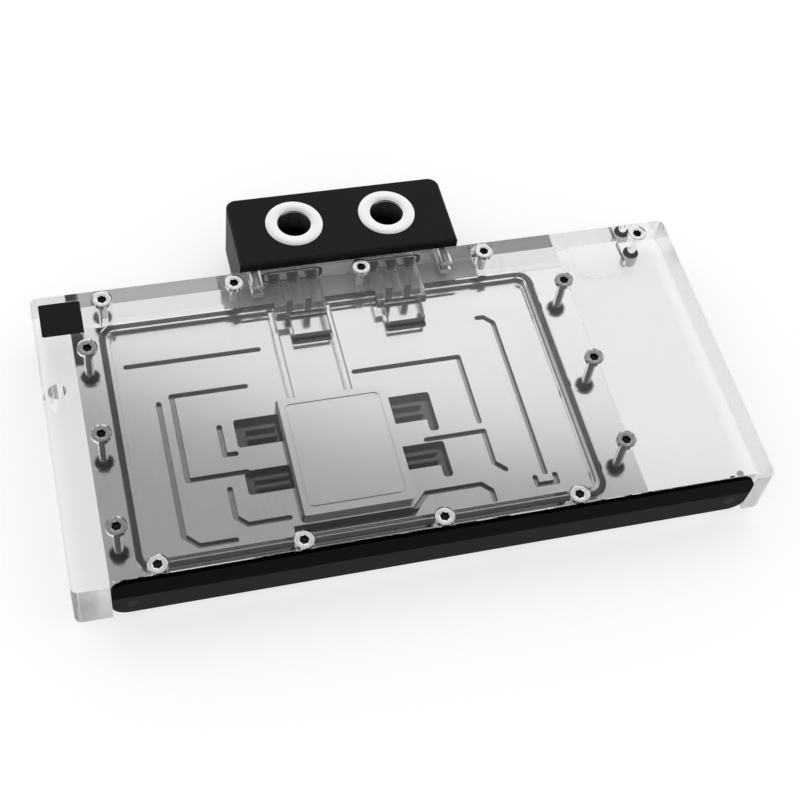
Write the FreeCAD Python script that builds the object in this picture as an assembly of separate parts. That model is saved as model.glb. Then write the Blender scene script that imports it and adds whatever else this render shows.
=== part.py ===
"""Full-cover liquid cooling cold plate.

A thick clear block is screwed over a nickel-plated copper plate. Coolant enters and leaves
through a two-port terminal bolted to the back face of the block, and a light bar lines its front.

Plan positions are measured from the front left corner of the block: x to the right along its
length, y towards the terminal. z is measured from the surface that the standoffs stand on.
place() then moves each finished piece so that the origin lies under the middle of the whole.
All sizes are in millimetres.
"""
import FreeCAD, Part
import math
import os

V = FreeCAD.Vector

# ---- Clear block --------------------------------------------------------------------------
BLOCK_LENGTH = 240.0
BLOCK_WIDTH = 118.0
BLOCK_HEIGHT = 21.0
BLOCK_CORNER_R = 2.5
BLOCK_EDGE_CHAMFER = 0.8

# ---- Cold plate ---------------------------------------------------------------------------
PLATE_LEFT = 12.5               # clear margin of the block left of the plate
PLATE_LENGTH = 184.5
PLATE_THICKNESS = 5.0
PLATE_CORNER_R = 3.0
PLATE_SIDE_CLEARANCE = 0.2
SEAT_GAP = 0.05                 # film of sealant, adhesive or air between seated faces

# ---- Cover screws, counterbored into the block --------------------------------------------
SCREW_R = 1.5
SCREW_HOLE_R = 1.65
SCREW_HEAD_R = 3.3
SCREW_HEAD_HEIGHT = 2.2
COUNTERBORE_R = 3.55
COUNTERBORE_DEPTH = 2.4
SCREW_THREAD_DEPTH = 3.4        # engaged in the plate
THREAD_RUNOUT = 0.3
HEX_ACROSS_FLATS = 3.0
HEX_DEPTH = 1.4
ROW_SCREWS = 4
FRONT_ROW_ENDS = (15.3, 27.6)   # insets of the outer screws from the plate's left and right edges
BACK_ROW_ENDS = (12.3, 30.6)
FRONT_ROW_INSET = 5.2
BACK_ROW_INSET = 4.5
COLUMN_SCREWS = 3
LEFT_COLUMN_ENDS = (21.2, 24.8)  # insets of the outer screws from the block's front and back faces
RIGHT_COLUMN_ENDS = (23.2, 22.8)
COLUMN_INSET = 4.6              # from the plate's left and right edges

# ---- Main seal ----------------------------------------------------------------------------
SEAL_WIDTH = 2.2
SEAL_GROOVE_WIDTH = 2.6
SEAL_GROOVE_DEPTH = 1.7
SEAL_LEFT_INSET = 10.4          # groove centre line, from the plate's edges
SEAL_RIGHT_INSET = 14.6
SEAL_FRONT_INSET = 9.0          # groove centre line, from the block's front and back faces
SEAL_BACK_INSET = 11.2
SEAL_CORNER_R = 5.0

# ---- Water chamber in the underside of the block ------------------------------------------
CHAMBER_HEIGHT = 2.5
CHAMBER_WALL = 1.2              # between the seal groove and the chamber
CHAMBER_CORNER_R = 3.0
GUIDE_WIDTH = 2.0               # two guides lead the inlet flow to the core
GUIDE_SPACING = 20.8            # between their centre lines
GUIDE_SHIFT = -3.0              # middle of the inlet channel, from the core's centre

# ---- Core: jet plate over fins, under a square cover --------------------------------------
CORE_CENTRE_X = 97.2
CORE_CENTRE_Y = 42.0
CORE_LENGTH = 39.5
CORE_WIDTH = 47.5
CORE_CORNER_R = 2.0
CORE_WALL = 2.0
CORE_ROOF = 1.0
CORE_INLET_LENGTH = 17.0
CORE_BORDER_INSET = 3.0         # engraved border line on the cover
CORE_BORDER_WIDTH = 0.8
CORE_BORDER_DEPTH = 0.3
JET_PLATE_THICKNESS = 0.5
JET_SLOT_LENGTH = 1.5
JET_PLATE_CLEARANCE = 0.2
FIN_FIELD_LENGTH = 30.0
FIN_FIELD_WIDTH = 39.0
FIN_DEPTH = 2.5
FIN_PITCH = 1.3
FIN_THICKNESS = 0.6
TROUGH_WIDTH = 3.2              # gathers the flow at both ends of the fins

# ---- Wells in the plate beside the core ---------------------------------------------------
WELL_DEPTH = 2.8
WELL_CORNER_R = 1.2
WELL_RIBS = 2
WELL_RIB_THICKNESS = 1.4
WELL_RIB_DROP = 0.9             # ribs end this far under the plate's face
WELL_LENGTH = 15.4              # beyond the core's left and right edges
WELL_WIDTHS = (11.5, 9.6)       # back wells, then front wells
WELL_OFFSETS = (13.8, -6.3)     # from the core's centre to the middle of each, along y
TAIL_WIDTH = 3.4
TAIL_LENGTH = 5.0
FRONT_WELL_ENDS = (-22.9, 21.1)  # well in front of the core, from the core's centre
FRONT_WELL_SLANT = 3.9          # its right end runs in by this much towards the front
FRONT_WELL_GAP = 1.8            # from the core's front edge
FRONT_WELL_MARGIN = 0.4         # from the chamber's front wall
LANDING_WIDTH = 4.2             # slot in the plate under the front wall of each throat
LANDING_LEAD = 1.2              # in front of that wall
LANDING_MARGIN = 0.8            # past the throat's ends

# ---- Flow traces milled into the face of the plate ----------------------------------------
TRACE_WIDTH = 2.0
TRACE_DEPTH = 1.4
TRACES = (                      # corners of each trace, from the core's centre
    ((-67.7, 48.0), (-20.7, 48.0)),
    ((-28.2, 33.0), (-54.2, 33.0), (-54.2, -1.8), (-34.0, -1.8)),
    ((-59.0, 30.5), (-59.0, -22.5), (-54.5, -27.0), (-42.4, -27.0)),
    ((-41.0, -7.6), (-41.0, -18.5), (-37.5, -22.0), (-23.5, -22.0)),
    ((-40.2, 17.5), (-40.2, 6.0), (-36.5, 6.0)),
    ((61.5, 48.5), (63.8, 48.5), (66.8, 45.5), (66.8, -20.5)),
    ((62.8, -22.0), (62.8, -25.0), (70.0, -25.0), (70.0, -22.0)),
    ((11.1, 32.5), (49.8, 32.5), (49.8, 4.0)),
    ((29.5, -0.2), (50.3, -0.2), (50.3, -13.5), (53.6, -16.8)),
    ((18.2, -27.0), (24.0, -21.2), (43.5, -21.2), (46.5, -24.2), (46.5, -28.0)),
)

# ---- Underside of the plate ---------------------------------------------------------------
PEDESTAL_LENGTH = 34.0
PEDESTAL_WIDTH = 34.0
PEDESTAL_HEIGHT = 1.2
PAD_HEIGHT = 0.6
PAD_LENGTH = 15.0
PAD_WIDTH = 13.0
PAD_GAP = 3.0
PAD_OFFSET = 33.0               # from the core's centre line to the memory pads
RAIL_LENGTH = 10.0
RAIL_WIDTH = 74.0
RAIL_OFFSET = 62.0              # from the core's centre line to the power stage pads

# ---- Standoffs ----------------------------------------------------------------------------
STANDOFF_HEIGHT = 5.0
STANDOFF_ACROSS_FLATS = 4.6
STANDOFF_BORE_R = 1.05
STANDOFF_BORE_DEPTH = 4.2
STANDOFF_STUD_R = 1.25
STANDOFF_STUD_LENGTH = 2.3
CHIP_BOLT_SPACING = 64.0        # square pattern around the core
EDGE_STANDOFF_INSET = 4.2       # from the plate's front and back edges
EDGE_STANDOFF_X = (18.5, 148.0)
CORNER_STANDOFF_R = 3.0
CORNER_STANDOFF_INSET_X = 12.3
CORNER_STANDOFF_INSET_Y = 5.4
FRONT_STANDOFF_INSET_X = 9.0
FRONT_STANDOFF_INSET_Y = 6.5
FRONT_STUD_LENGTH = 8.0

# ---- Terminal -----------------------------------------------------------------------------
TERMINAL_LEFT = 75.0
TERMINAL_LENGTH = 82.0
TERMINAL_DEPTH = 32.0
TERMINAL_RISE = 3.0             # above the block's top face
TERMINAL_CORNER_R = 4.0
TERMINAL_CHAMFER = 0.7
PORT_SPACING = 35.3
PORT_INSET = 17.0               # port centres behind the block's back face
PORT_BORE_R = 5.9               # minor radius of the G1/4 thread
PORT_WELL_R = 6.3               # the terminal's own bore below the threaded insert
FLANGE_R = 10.7
FLANGE_THICKNESS = 1.4
FLANGE_PROUD = 0.3
SLEEVE_R = 8.0
SLEEVE_LENGTH = 8.0
PORT_MOUTH_CHAMFER = 0.7
PORT_SEAL_WIDTH = 1.2
PORT_SEAL_HEIGHT = 0.9
PLUG_SEAT_R = 9.2
PLUG_SEAT_DEPTH = 2.6
PLUG_HEAD_R = 8.8
PLUG_HEAD_HEIGHT = 1.7
PLUG_CHAMFER = 0.4
PLUG_BODY_LENGTH = 4.4
PLUG_BODY_CLEARANCE = 0.1
PLUG_SEAL_WIDTH = 2.4
PLUG_HEX = 8.0
PLUG_HEX_DEPTH = 3.0

# ---- Passages between the terminal and the chamber ----------------------------------------
PASSAGES_PER_PORT = 3
PASSAGE_WIDTH = 4.5
PASSAGE_PITCH = 7.0
PASSAGE_SHIFTS = (-4.1, -2.0)   # middle of each group, from its port's centre
PASSAGE_HEIGHT = 6.0
PASSAGE_RISE = 3.2              # floor of the passages above the plate
MANIFOLD_WIDTH = 5.0
THROAT_LENGTH = 13.6
THROAT_WIDTH = 8.3
THROAT_SHIFTS = (2.4, 0.0)      # middle of each throat, from its group of passages
THROAT_HEIGHT = 6.0
PASSAGE_SEAL_OFFSET = 1.6       # groove centre line around each group of passages
PASSAGE_SEAL_WIDTH = 1.5
PASSAGE_SEAL_DEPTH = 1.1
PASSAGE_SEAL_CORNER_R = 2.5
PORT_CHANNEL_WIDTH = 11.2       # the terminal's channel narrows to this at the port
PORT_CHANNEL_MOUTH = 1.0        # straight stretch of the channel at the joint with the block

# ---- Terminal screws and their inserts in the block ---------------------------------------
TERMINAL_SCREW_R = 1.5
TERMINAL_SCREW_HOLE_R = 1.65
TERMINAL_SCREW_HEAD_R = 2.75
TERMINAL_SCREW_HEAD_HEIGHT = 3.0
TERMINAL_SCREW_BORE_R = 2.9
TERMINAL_SCREW_BORE_DEPTH = 16.0
TERMINAL_SCREW_INSET = 5.4      # from the terminal's left and right faces
TERMINAL_SCREW_HEIGHTS = (5.0, 12.3)  # above the plate
INSERT_R = 2.3
INSERT_LENGTH = 7.0

# ---- Light bar on the front face ----------------------------------------------------------
BAR_LEFT = 12.2
BAR_LENGTH = 220.6
BAR_THICKNESS = 1.5
BAR_EDGE_MARGIN = 0.4           # below the block's top face and above its underside
BAR_END_R = 5.5
BAR_BEVEL_HEIGHT = 11.0
BAR_BEVEL_DEPTH = 0.55
BAR_SCREW_INSET = 6.5
BAR_SCREW_RISE = 6.8            # above the block's underside
BAR_SCREW_HEAD_R = 1.9
BAR_SCREW_HEAD_DEPTH = 0.9
BAR_SCREW_R = 1.0
BAR_SCREW_LENGTH = 4.5
LIGHT_CHANNEL_HEIGHT = 9.0
LIGHT_CHANNEL_RISE = 6.6        # above the block's underside
LIGHT_CHANNEL_DEPTH = 1.4
LIGHT_CHANNEL_MARGIN = 13.0     # from the bar's ends
LIGHT_BOARD_THICKNESS = 0.4
LIGHT_BOARD_CLEARANCE = 0.4
LAMP_SIZE = 5.0
LAMP_HEIGHT = 0.9
LAMP_COUNT = 12

# ---- Corner badge and the blind bore in the left margin -----------------------------------
BADGE_LEFT = 2.6
BADGE_LENGTH = 14.4
BADGE_WIDTH = 14.2
BADGE_BACK_INSET = 4.0
BADGE_THICKNESS = 1.0
BADGE_CORNER_R = 0.8
BADGE_CLEARANCE = 0.1
MARGIN_BORE_X = 4.9
MARGIN_BORE_Y = 79.5
MARGIN_BORE_R = 3.1
MARGIN_BORE_DEPTH = 13.5

# ---- Cable relief in the back right corner of the block -----------------------------------
RELIEF_LEFT_INSET = 36.5
RELIEF_LENGTH = 20.0
RELIEF_WIDTH = 15.5
RELIEF_DEPTH = 2.5
RELIEF_CORNER_R = 6.0

# ---- Working values -----------------------------------------------------------------------
OVERRUN = 1.0                   # how far a cut runs past the surface it breaks
TOLERANCE = 1e-6

# ---- Levels and edges worked out from the sizes above -------------------------------------
UNDERSIDE_Z = STANDOFF_HEIGHT
PLATE_Z = UNDERSIDE_Z + PLATE_THICKNESS
SEAT_Z = PLATE_Z + SEAT_GAP
ROOF_Z = PLATE_Z + CHAMBER_HEIGHT
TOP_Z = UNDERSIDE_Z + BLOCK_HEIGHT
TERMINAL_Z = TOP_Z + TERMINAL_RISE
PASSAGE_Z = PLATE_Z + PASSAGE_RISE
PASSAGE_TOP_Z = PASSAGE_Z + PASSAGE_HEIGHT

BLOCK_RECT = (0.0, BLOCK_LENGTH, 0.0, BLOCK_WIDTH)
PLATE_FRONT = BAR_THICKNESS + 2 * SEAT_GAP
PLATE_RECT = (PLATE_LEFT, PLATE_LEFT + PLATE_LENGTH, PLATE_FRONT, BLOCK_WIDTH)
SEAL_RECT = (PLATE_RECT[0] + SEAL_LEFT_INSET, PLATE_RECT[1] - SEAL_RIGHT_INSET,
             SEAL_FRONT_INSET, BLOCK_WIDTH - SEAL_BACK_INSET)
CORE_RECT = (CORE_CENTRE_X - CORE_LENGTH / 2, CORE_CENTRE_X + CORE_LENGTH / 2,
             CORE_CENTRE_Y - CORE_WIDTH / 2, CORE_CENTRE_Y + CORE_WIDTH / 2)
CORE_TOP_Z = ROOF_Z - SEAT_GAP
GUIDE_MIDDLE_X = CORE_CENTRE_X + GUIDE_SHIFT

TERMINAL_RIGHT = TERMINAL_LEFT + TERMINAL_LENGTH
TERMINAL_FRONT = BLOCK_WIDTH + SEAT_GAP
TERMINAL_BACK = BLOCK_WIDTH + TERMINAL_DEPTH
PORT_Y = BLOCK_WIDTH + PORT_INSET
PORT_X = tuple((TERMINAL_LEFT + TERMINAL_RIGHT + side * PORT_SPACING) / 2 for side in (-1, 1))
GROUP_X = tuple(x + shift for x, shift in zip(PORT_X, PASSAGE_SHIFTS))
GROUP_LENGTH = (PASSAGES_PER_PORT - 1) * PASSAGE_PITCH + PASSAGE_WIDTH
FLANGE_Z = TERMINAL_Z + FLANGE_PROUD - FLANGE_THICKNESS
PLUG_SEAT_Z = UNDERSIDE_Z + PLUG_SEAT_DEPTH
BAR_RIGHT = BAR_LEFT + BAR_LENGTH
BAR_BOTTOM_Z = UNDERSIDE_Z + BAR_EDGE_MARGIN
BAR_TOP_Z = TOP_Z - BAR_EDGE_MARGIN
CHANNEL_Z = UNDERSIDE_Z + LIGHT_CHANNEL_RISE
COVER_HEAD_Z = TOP_Z - COUNTERBORE_DEPTH


# ---- Shapes shared by several pieces ------------------------------------------------------
def box(x0, x1, y0, y1, z0, z1):
    """Square-edged block between two corners."""
    return Part.makeBox(x1 - x0, y1 - y0, z1 - z0, V(x0, y0, z0))


def rod(x, y, z0, z1, radius):
    """Upright cylinder."""
    return Part.makeCylinder(radius, z1 - z0, V(x, y, z0))


def rod_y(x, z, y0, y1, radius):
    """Cylinder lying along y."""
    return Part.makeCylinder(radius, y1 - y0, V(x, y0, z), V(0, 1, 0))


def edges_at(shape, z):
    """Edges of a shape that lie flat at one height."""
    return [edge for edge in shape.Edges
            if max(abs(edge.BoundBox.ZMin - z), abs(edge.BoundBox.ZMax - z)) < TOLERANCE]


def grown(rect, margin):
    """Rectangle (x0, x1, y0, y1) with every side moved out by margin."""
    return rect[0] - margin, rect[1] + margin, rect[2] - margin, rect[3] + margin


def rounded_slab(rect, z0, z1, radius):
    """Upright prism over a rectangle with round corners."""
    x0, x1, y0, y1 = rect
    middle = radius * (1 - math.sqrt(0.5))
    edges = [
        Part.LineSegment(V(x0 + radius, y0), V(x1 - radius, y0)),
        Part.Arc(V(x1 - radius, y0), V(x1 - middle, y0 + middle), V(x1, y0 + radius)),
        Part.LineSegment(V(x1, y0 + radius), V(x1, y1 - radius)),
        Part.Arc(V(x1, y1 - radius), V(x1 - middle, y1 - middle), V(x1 - radius, y1)),
        Part.LineSegment(V(x1 - radius, y1), V(x0 + radius, y1)),
        Part.Arc(V(x0 + radius, y1), V(x0 + middle, y1 - middle), V(x0, y1 - radius)),
        Part.LineSegment(V(x0, y1 - radius), V(x0, y0 + radius)),
        Part.Arc(V(x0, y0 + radius), V(x0 + middle, y0 + middle), V(x0 + radius, y0)),
    ]
    wire = Part.Wire([edge.toShape() for edge in edges])
    wire.translate(V(0, 0, z0))
    return Part.Face(wire).extrude(V(0, 0, z1 - z0))


def upright_slab(rect, y0, y1, radius):
    """Prism along y over a rectangle (x0, x1, z0, z1) with round corners."""
    slab = rounded_slab(rect, -y1, -y0, radius)
    slab.rotate(V(0, 0, 0), V(1, 0, 0), 90)
    return slab


def prism(points, z0, z1):
    """Upright prism over a polygon."""
    corners = [V(x, y, z0) for x, y in points]
    return Part.Face(Part.makePolygon(corners + corners[:1])).extrude(V(0, 0, z1 - z0))


def round_band(rect, z0, z1, width, radius):
    """Closed band of constant width that follows a rectangle with round corners."""
    outer = rounded_slab(grown(rect, width / 2), z0, z1, radius + width / 2)
    return outer.cut(rounded_slab(grown(rect, -width / 2), z0, z1, radius - width / 2))


def slot(points, width, z0, z1):
    """Path of a round cutter through the given points."""
    legs = []
    for (xa, ya), (xb, yb) in zip(points, points[1:]):
        length = math.hypot(xb - xa, yb - ya)
        leg = box(0, length, -width / 2, width / 2, z0, z1)
        leg.rotate(V(0, 0, 0), V(0, 0, 1), math.degrees(math.atan2(yb - ya, xb - xa)))
        leg.translate(V(xa, ya, 0))
        legs.append(leg)
    ends = [rod(x, y, z0, z1, width / 2) for x, y in points]
    return legs[0].fuse(legs[1:] + ends).removeSplitter()


def hexagon(x, y, z0, z1, across_flats):
    """Upright hexagonal prism."""
    reach = across_flats / math.sqrt(3)
    angles = [math.radians(60 * i) for i in range(6)]
    return prism([(x + reach * math.cos(a), y + reach * math.sin(a)) for a in angles], z0, z1)


def cap_screw(x, y, head_z, tip_z, shank_r, head_r, head_height):
    """Socket head screw standing upright, its head seated at head_z."""
    head = rod(x, y, head_z, head_z + head_height, head_r)
    screw = head.fuse(rod(x, y, tip_z, head_z, shank_r))
    socket_z = head_z + head_height - HEX_DEPTH
    return screw.cut(hexagon(x, y, socket_z, head_z + head_height, HEX_ACROSS_FLATS)).removeSplitter()


# ---- Where the fasteners stand ------------------------------------------------------------
def spread(low, high, insets, count):
    """Evenly spaced positions between two edges, the outer ones inset from them."""
    first = low + insets[0]
    pitch = (high - insets[1] - first) / (count - 1)
    return [first + i * pitch for i in range(count)]


def front_row():
    return [(x, FRONT_ROW_INSET) for x in spread(*PLATE_RECT[:2], FRONT_ROW_ENDS, ROW_SCREWS)]


def back_row():
    y = BLOCK_WIDTH - BACK_ROW_INSET
    return [(x, y) for x in spread(*PLATE_RECT[:2], BACK_ROW_ENDS, ROW_SCREWS)]


def left_column():
    x = PLATE_RECT[0] + COLUMN_INSET
    return [(x, y) for y in spread(0, BLOCK_WIDTH, LEFT_COLUMN_ENDS, COLUMN_SCREWS)]


def right_column():
    x = PLATE_RECT[1] - COLUMN_INSET
    return [(x, y) for y in spread(0, BLOCK_WIDTH, RIGHT_COLUMN_ENDS, COLUMN_SCREWS)]


def cover_screw_places():
    return front_row() + back_row() + left_column() + right_column()


def corner_screw_place():
    return BLOCK_LENGTH - CORNER_STANDOFF_INSET_X, BLOCK_WIDTH - CORNER_STANDOFF_INSET_Y


def front_standoff_place():
    return BLOCK_LENGTH - FRONT_STANDOFF_INSET_X, FRONT_STANDOFF_INSET_Y


def chip_standoff_places():
    half = CHIP_BOLT_SPACING / 2
    return [(CORE_CENTRE_X + i * half, CORE_CENTRE_Y + j * half) for i in (-1, 1) for j in (-1, 1)]


def edge_standoff_places():
    rows = (PLATE_FRONT + EDGE_STANDOFF_INSET, BLOCK_WIDTH - EDGE_STANDOFF_INSET)
    return [(x, y) for x in EDGE_STANDOFF_X for y in rows]


def terminal_screw_places():
    """Pairs (x, z) on the back face of the terminal."""
    columns = (TERMINAL_LEFT + TERMINAL_SCREW_INSET, TERMINAL_RIGHT - TERMINAL_SCREW_INSET)
    return [(x, PLATE_Z + rise) for x in columns for rise in TERMINAL_SCREW_HEIGHTS]


def bar_screw_places():
    """Pairs (x, z) on the front face of the light bar."""
    z = UNDERSIDE_Z + BAR_SCREW_RISE
    return [(BAR_LEFT + BAR_SCREW_INSET, z), (BAR_RIGHT - BAR_SCREW_INSET, z)]


# ---- Clear block --------------------------------------------------------------------------
def chamber_rect():
    return grown(SEAL_RECT, -SEAL_GROOVE_WIDTH / 2 - CHAMBER_WALL)


def throat_rect(index):
    """Opening from a manifold forwards and down into the chamber, as (x0, x1, y0, y1)."""
    x = GROUP_X[index] + THROAT_SHIFTS[index]
    back = chamber_rect()[3] - MANIFOLD_WIDTH
    return x - THROAT_LENGTH / 2, x + THROAT_LENGTH / 2, back - THROAT_WIDTH, back


def inlet_guides(rect):
    """Two ribs left standing in the chamber, from its back wall to the core."""
    ribs = []
    for side in (-1, 1):
        x = GUIDE_MIDDLE_X + side * GUIDE_SPACING / 2
        ribs.append(box(x - GUIDE_WIDTH / 2, x + GUIDE_WIDTH / 2, CORE_RECT[3] + SEAT_GAP,
                        rect[3] + OVERRUN, SEAT_Z, ROOF_Z))
    return ribs


def water_space():
    """Everything milled into the block for the coolant, from below and through its back face."""
    rect = chamber_rect()
    below = UNDERSIDE_Z
    space = rounded_slab(rect, below, ROOF_Z, CHAMBER_CORNER_R).cut(inlet_guides(rect))
    extras = []
    for index, group_x in enumerate(GROUP_X):
        left = group_x - GROUP_LENGTH / 2
        manifold_front = rect[3] - MANIFOLD_WIDTH
        extras.append(box(left, left + GROUP_LENGTH, manifold_front, rect[3], ROOF_Z - OVERRUN,
                          PASSAGE_TOP_Z))
        extras.append(box(*throat_rect(index), ROOF_Z - OVERRUN, PLATE_Z + THROAT_HEIGHT))
        for i in range(PASSAGES_PER_PORT):
            x = left + i * PASSAGE_PITCH
            extras.append(box(x, x + PASSAGE_WIDTH, rect[3] - OVERRUN, BLOCK_WIDTH + OVERRUN,
                              PASSAGE_Z, PASSAGE_TOP_Z))
    return space.fuse(extras).removeSplitter()


def channel_rect():
    """Light channel behind the bar, as (x0, x1, z0, z1)."""
    return (BAR_LEFT + LIGHT_CHANNEL_MARGIN, BAR_RIGHT - LIGHT_CHANNEL_MARGIN,
            CHANNEL_Z, CHANNEL_Z + LIGHT_CHANNEL_HEIGHT)


def bar_rebate():
    """Recess for the light bar with the channel for its lamps behind it."""
    depth = BAR_THICKNESS + SEAT_GAP
    recess = upright_slab((BAR_LEFT - SEAT_GAP, BAR_RIGHT + SEAT_GAP, UNDERSIDE_Z - BAR_END_R,
                           TOP_Z + BAR_END_R), -OVERRUN, depth, BAR_END_R)
    x0, x1, z0, z1 = channel_rect()
    return recess.fuse(box(x0, x1, 0, depth + LIGHT_CHANNEL_DEPTH, z0, z1))


def clear_block():
    block = rounded_slab(BLOCK_RECT, UNDERSIDE_Z, TOP_Z, BLOCK_CORNER_R)
    block = block.makeChamfer(BLOCK_EDGE_CHAMFER, edges_at(block, TOP_Z))

    x0, x1, y0, y1 = PLATE_RECT
    side = PLATE_SIDE_CLEARANCE
    cuts = [
        rounded_slab((x0 - side, x1 + side, -PLATE_CORNER_R - side, y1 + PLATE_CORNER_R + side),
                     UNDERSIDE_Z - OVERRUN, SEAT_Z, PLATE_CORNER_R + side),
        water_space(),
        round_band(SEAL_RECT, PLATE_Z, SEAT_Z + SEAL_GROOVE_DEPTH, SEAL_GROOVE_WIDTH, SEAL_CORNER_R),
        bar_rebate(),
    ]
    for x, y in cover_screw_places() + [corner_screw_place()]:
        cuts.append(rod(x, y, UNDERSIDE_Z - OVERRUN, TOP_Z, SCREW_HOLE_R))
        cuts.append(rod(x, y, COVER_HEAD_Z, TOP_Z + OVERRUN, COUNTERBORE_R))
    for x, z in terminal_screw_places():
        cuts.append(rod_y(x, z, BLOCK_WIDTH - INSERT_LENGTH - SEAT_GAP, BLOCK_WIDTH + OVERRUN,
                          INSERT_R + SEAT_GAP))
    for x, z in bar_screw_places():
        cuts.append(rod_y(x, z, 0, BAR_SCREW_LENGTH + 2 * SEAT_GAP, BAR_SCREW_R + SEAT_GAP))
    x, y = front_standoff_place()
    cuts.append(rod(x, y, UNDERSIDE_Z - OVERRUN, UNDERSIDE_Z + FRONT_STUD_LENGTH + THREAD_RUNOUT,
                    STANDOFF_STUD_R + SEAT_GAP))
    cuts.append(rod(MARGIN_BORE_X, MARGIN_BORE_Y, UNDERSIDE_Z - OVERRUN, UNDERSIDE_Z + MARGIN_BORE_DEPTH,
                    MARGIN_BORE_R))
    cuts.append(rounded_slab(badge_rect(BADGE_CLEARANCE), TOP_Z - BADGE_THICKNESS - SEAT_GAP,
                             TOP_Z + OVERRUN, BADGE_CORNER_R + BADGE_CLEARANCE))
    relief_x = BLOCK_LENGTH - RELIEF_LEFT_INSET
    cuts.append(rounded_slab((relief_x, relief_x + RELIEF_LENGTH, BLOCK_WIDTH - RELIEF_WIDTH,
                              BLOCK_WIDTH + RELIEF_CORNER_R), UNDERSIDE_Z - OVERRUN,
                             UNDERSIDE_Z + RELIEF_DEPTH, RELIEF_CORNER_R))
    return block.cut(cuts).removeSplitter()


# ---- Cold plate ---------------------------------------------------------------------------
def fin_channels():
    """Narrow channels between the fins, and the troughs that gather the flow at their ends."""
    x0 = CORE_CENTRE_X - FIN_FIELD_LENGTH / 2
    x1 = CORE_CENTRE_X + FIN_FIELD_LENGTH / 2
    y0 = CORE_CENTRE_Y - FIN_FIELD_WIDTH / 2
    floor = PLATE_Z - FIN_DEPTH
    gap = FIN_PITCH - FIN_THICKNESS
    count = int((FIN_FIELD_WIDTH - gap) / FIN_PITCH) + 1
    first = CORE_CENTRE_Y - (count - 1) * FIN_PITCH / 2 - gap / 2
    cuts = [box(x0, x1, first + i * FIN_PITCH, first + i * FIN_PITCH + gap, floor,
                PLATE_Z + OVERRUN)
            for i in range(count)]
    for x in (x0 - TROUGH_WIDTH, x1):
        cuts.append(box(x, x + TROUGH_WIDTH, y0, y0 + FIN_FIELD_WIDTH, floor, PLATE_Z + OVERRUN))
    return cuts


def wells():
    """Deep wells that take the flow from the troughs, each with low ribs along its floor."""
    cuts = []
    trough = CORE_CENTRE_X - FIN_FIELD_LENGTH / 2 - TROUGH_WIDTH
    reach = trough - (CORE_RECT[0] - WELL_LENGTH) + OVERRUN
    floor = PLATE_Z - WELL_DEPTH
    for side in (-1, 1):
        inner = CORE_CENTRE_X + side * (FIN_FIELD_LENGTH / 2 + TROUGH_WIDTH - OVERRUN)
        outer = inner + side * reach
        for width, offset in zip(WELL_WIDTHS, WELL_OFFSETS):
            middle = CORE_CENTRE_Y + offset
            rect = (min(inner, outer), max(inner, outer), middle - width / 2, middle + width / 2)
            well = rounded_slab(rect, floor, PLATE_Z + OVERRUN, WELL_CORNER_R)
            pitch = width / (WELL_RIBS + 1)
            for i in range(WELL_RIBS):
                y = rect[2] + (i + 1) * pitch - WELL_RIB_THICKNESS / 2
                well = well.cut(box(rect[0] + pitch, rect[1] - pitch, y, y + WELL_RIB_THICKNESS, floor,
                                    PLATE_Z - WELL_RIB_DROP))
            cuts.append(well)
            if side == 1:
                cuts.append(rounded_slab((outer - TAIL_WIDTH, outer, rect[2] - TAIL_LENGTH, middle),
                                         floor, PLATE_Z + OVERRUN, WELL_CORNER_R))
    return cuts


def front_well():
    """Deep well between the core's front edge and the front wall of the chamber."""
    left, right = (CORE_CENTRE_X + end for end in FRONT_WELL_ENDS)
    back = CORE_RECT[2] - FRONT_WELL_GAP
    front = chamber_rect()[2] + FRONT_WELL_MARGIN
    corners = ((left, front), (right - FRONT_WELL_SLANT, front), (right, back), (left, back))
    return prism(corners, PLATE_Z - WELL_DEPTH, PLATE_Z + OVERRUN)


def landing_slots():
    """Slots in the plate where the flow from the throats comes down."""
    slots = []
    for index in range(len(GROUP_X)):
        x0, x1, wall, _ = throat_rect(index)
        front = wall - LANDING_LEAD
        rect = (x0 - LANDING_MARGIN, x1 + LANDING_MARGIN, front, front + LANDING_WIDTH)
        slots.append(rounded_slab(rect, PLATE_Z - WELL_DEPTH, PLATE_Z + OVERRUN, WELL_CORNER_R))
    return slots


def contact_pads():
    """Raised faces under the plate: the chip pedestal, memory pads and power stage rails."""
    low = UNDERSIDE_Z - PAD_HEIGHT
    pads = [rounded_slab((CORE_CENTRE_X - PEDESTAL_LENGTH / 2, CORE_CENTRE_X + PEDESTAL_LENGTH / 2,
                          CORE_CENTRE_Y - PEDESTAL_WIDTH / 2, CORE_CENTRE_Y + PEDESTAL_WIDTH / 2),
                         UNDERSIDE_Z - PEDESTAL_HEIGHT, UNDERSIDE_Z, PLATE_CORNER_R)]
    step = PAD_LENGTH + PAD_GAP
    for side in (-1, 1):
        x = CORE_CENTRE_X + side * PAD_OFFSET
        for i in (-1, 0, 1):
            y = CORE_CENTRE_Y + i * step
            pads.append(box(x - PAD_WIDTH / 2, x + PAD_WIDTH / 2, y - PAD_LENGTH / 2, y + PAD_LENGTH / 2,
                            low, UNDERSIDE_Z))
        x = CORE_CENTRE_X + side * step / 2
        y = CORE_CENTRE_Y + PAD_OFFSET
        pads.append(box(x - PAD_LENGTH / 2, x + PAD_LENGTH / 2, y - PAD_WIDTH / 2, y + PAD_WIDTH / 2,
                        low, UNDERSIDE_Z))
        x = CORE_CENTRE_X + side * RAIL_OFFSET
        pads.append(box(x - RAIL_LENGTH / 2, x + RAIL_LENGTH / 2, CORE_CENTRE_Y - PAD_LENGTH,
                        CORE_CENTRE_Y - PAD_LENGTH + RAIL_WIDTH, low, UNDERSIDE_Z))
    return pads


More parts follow.
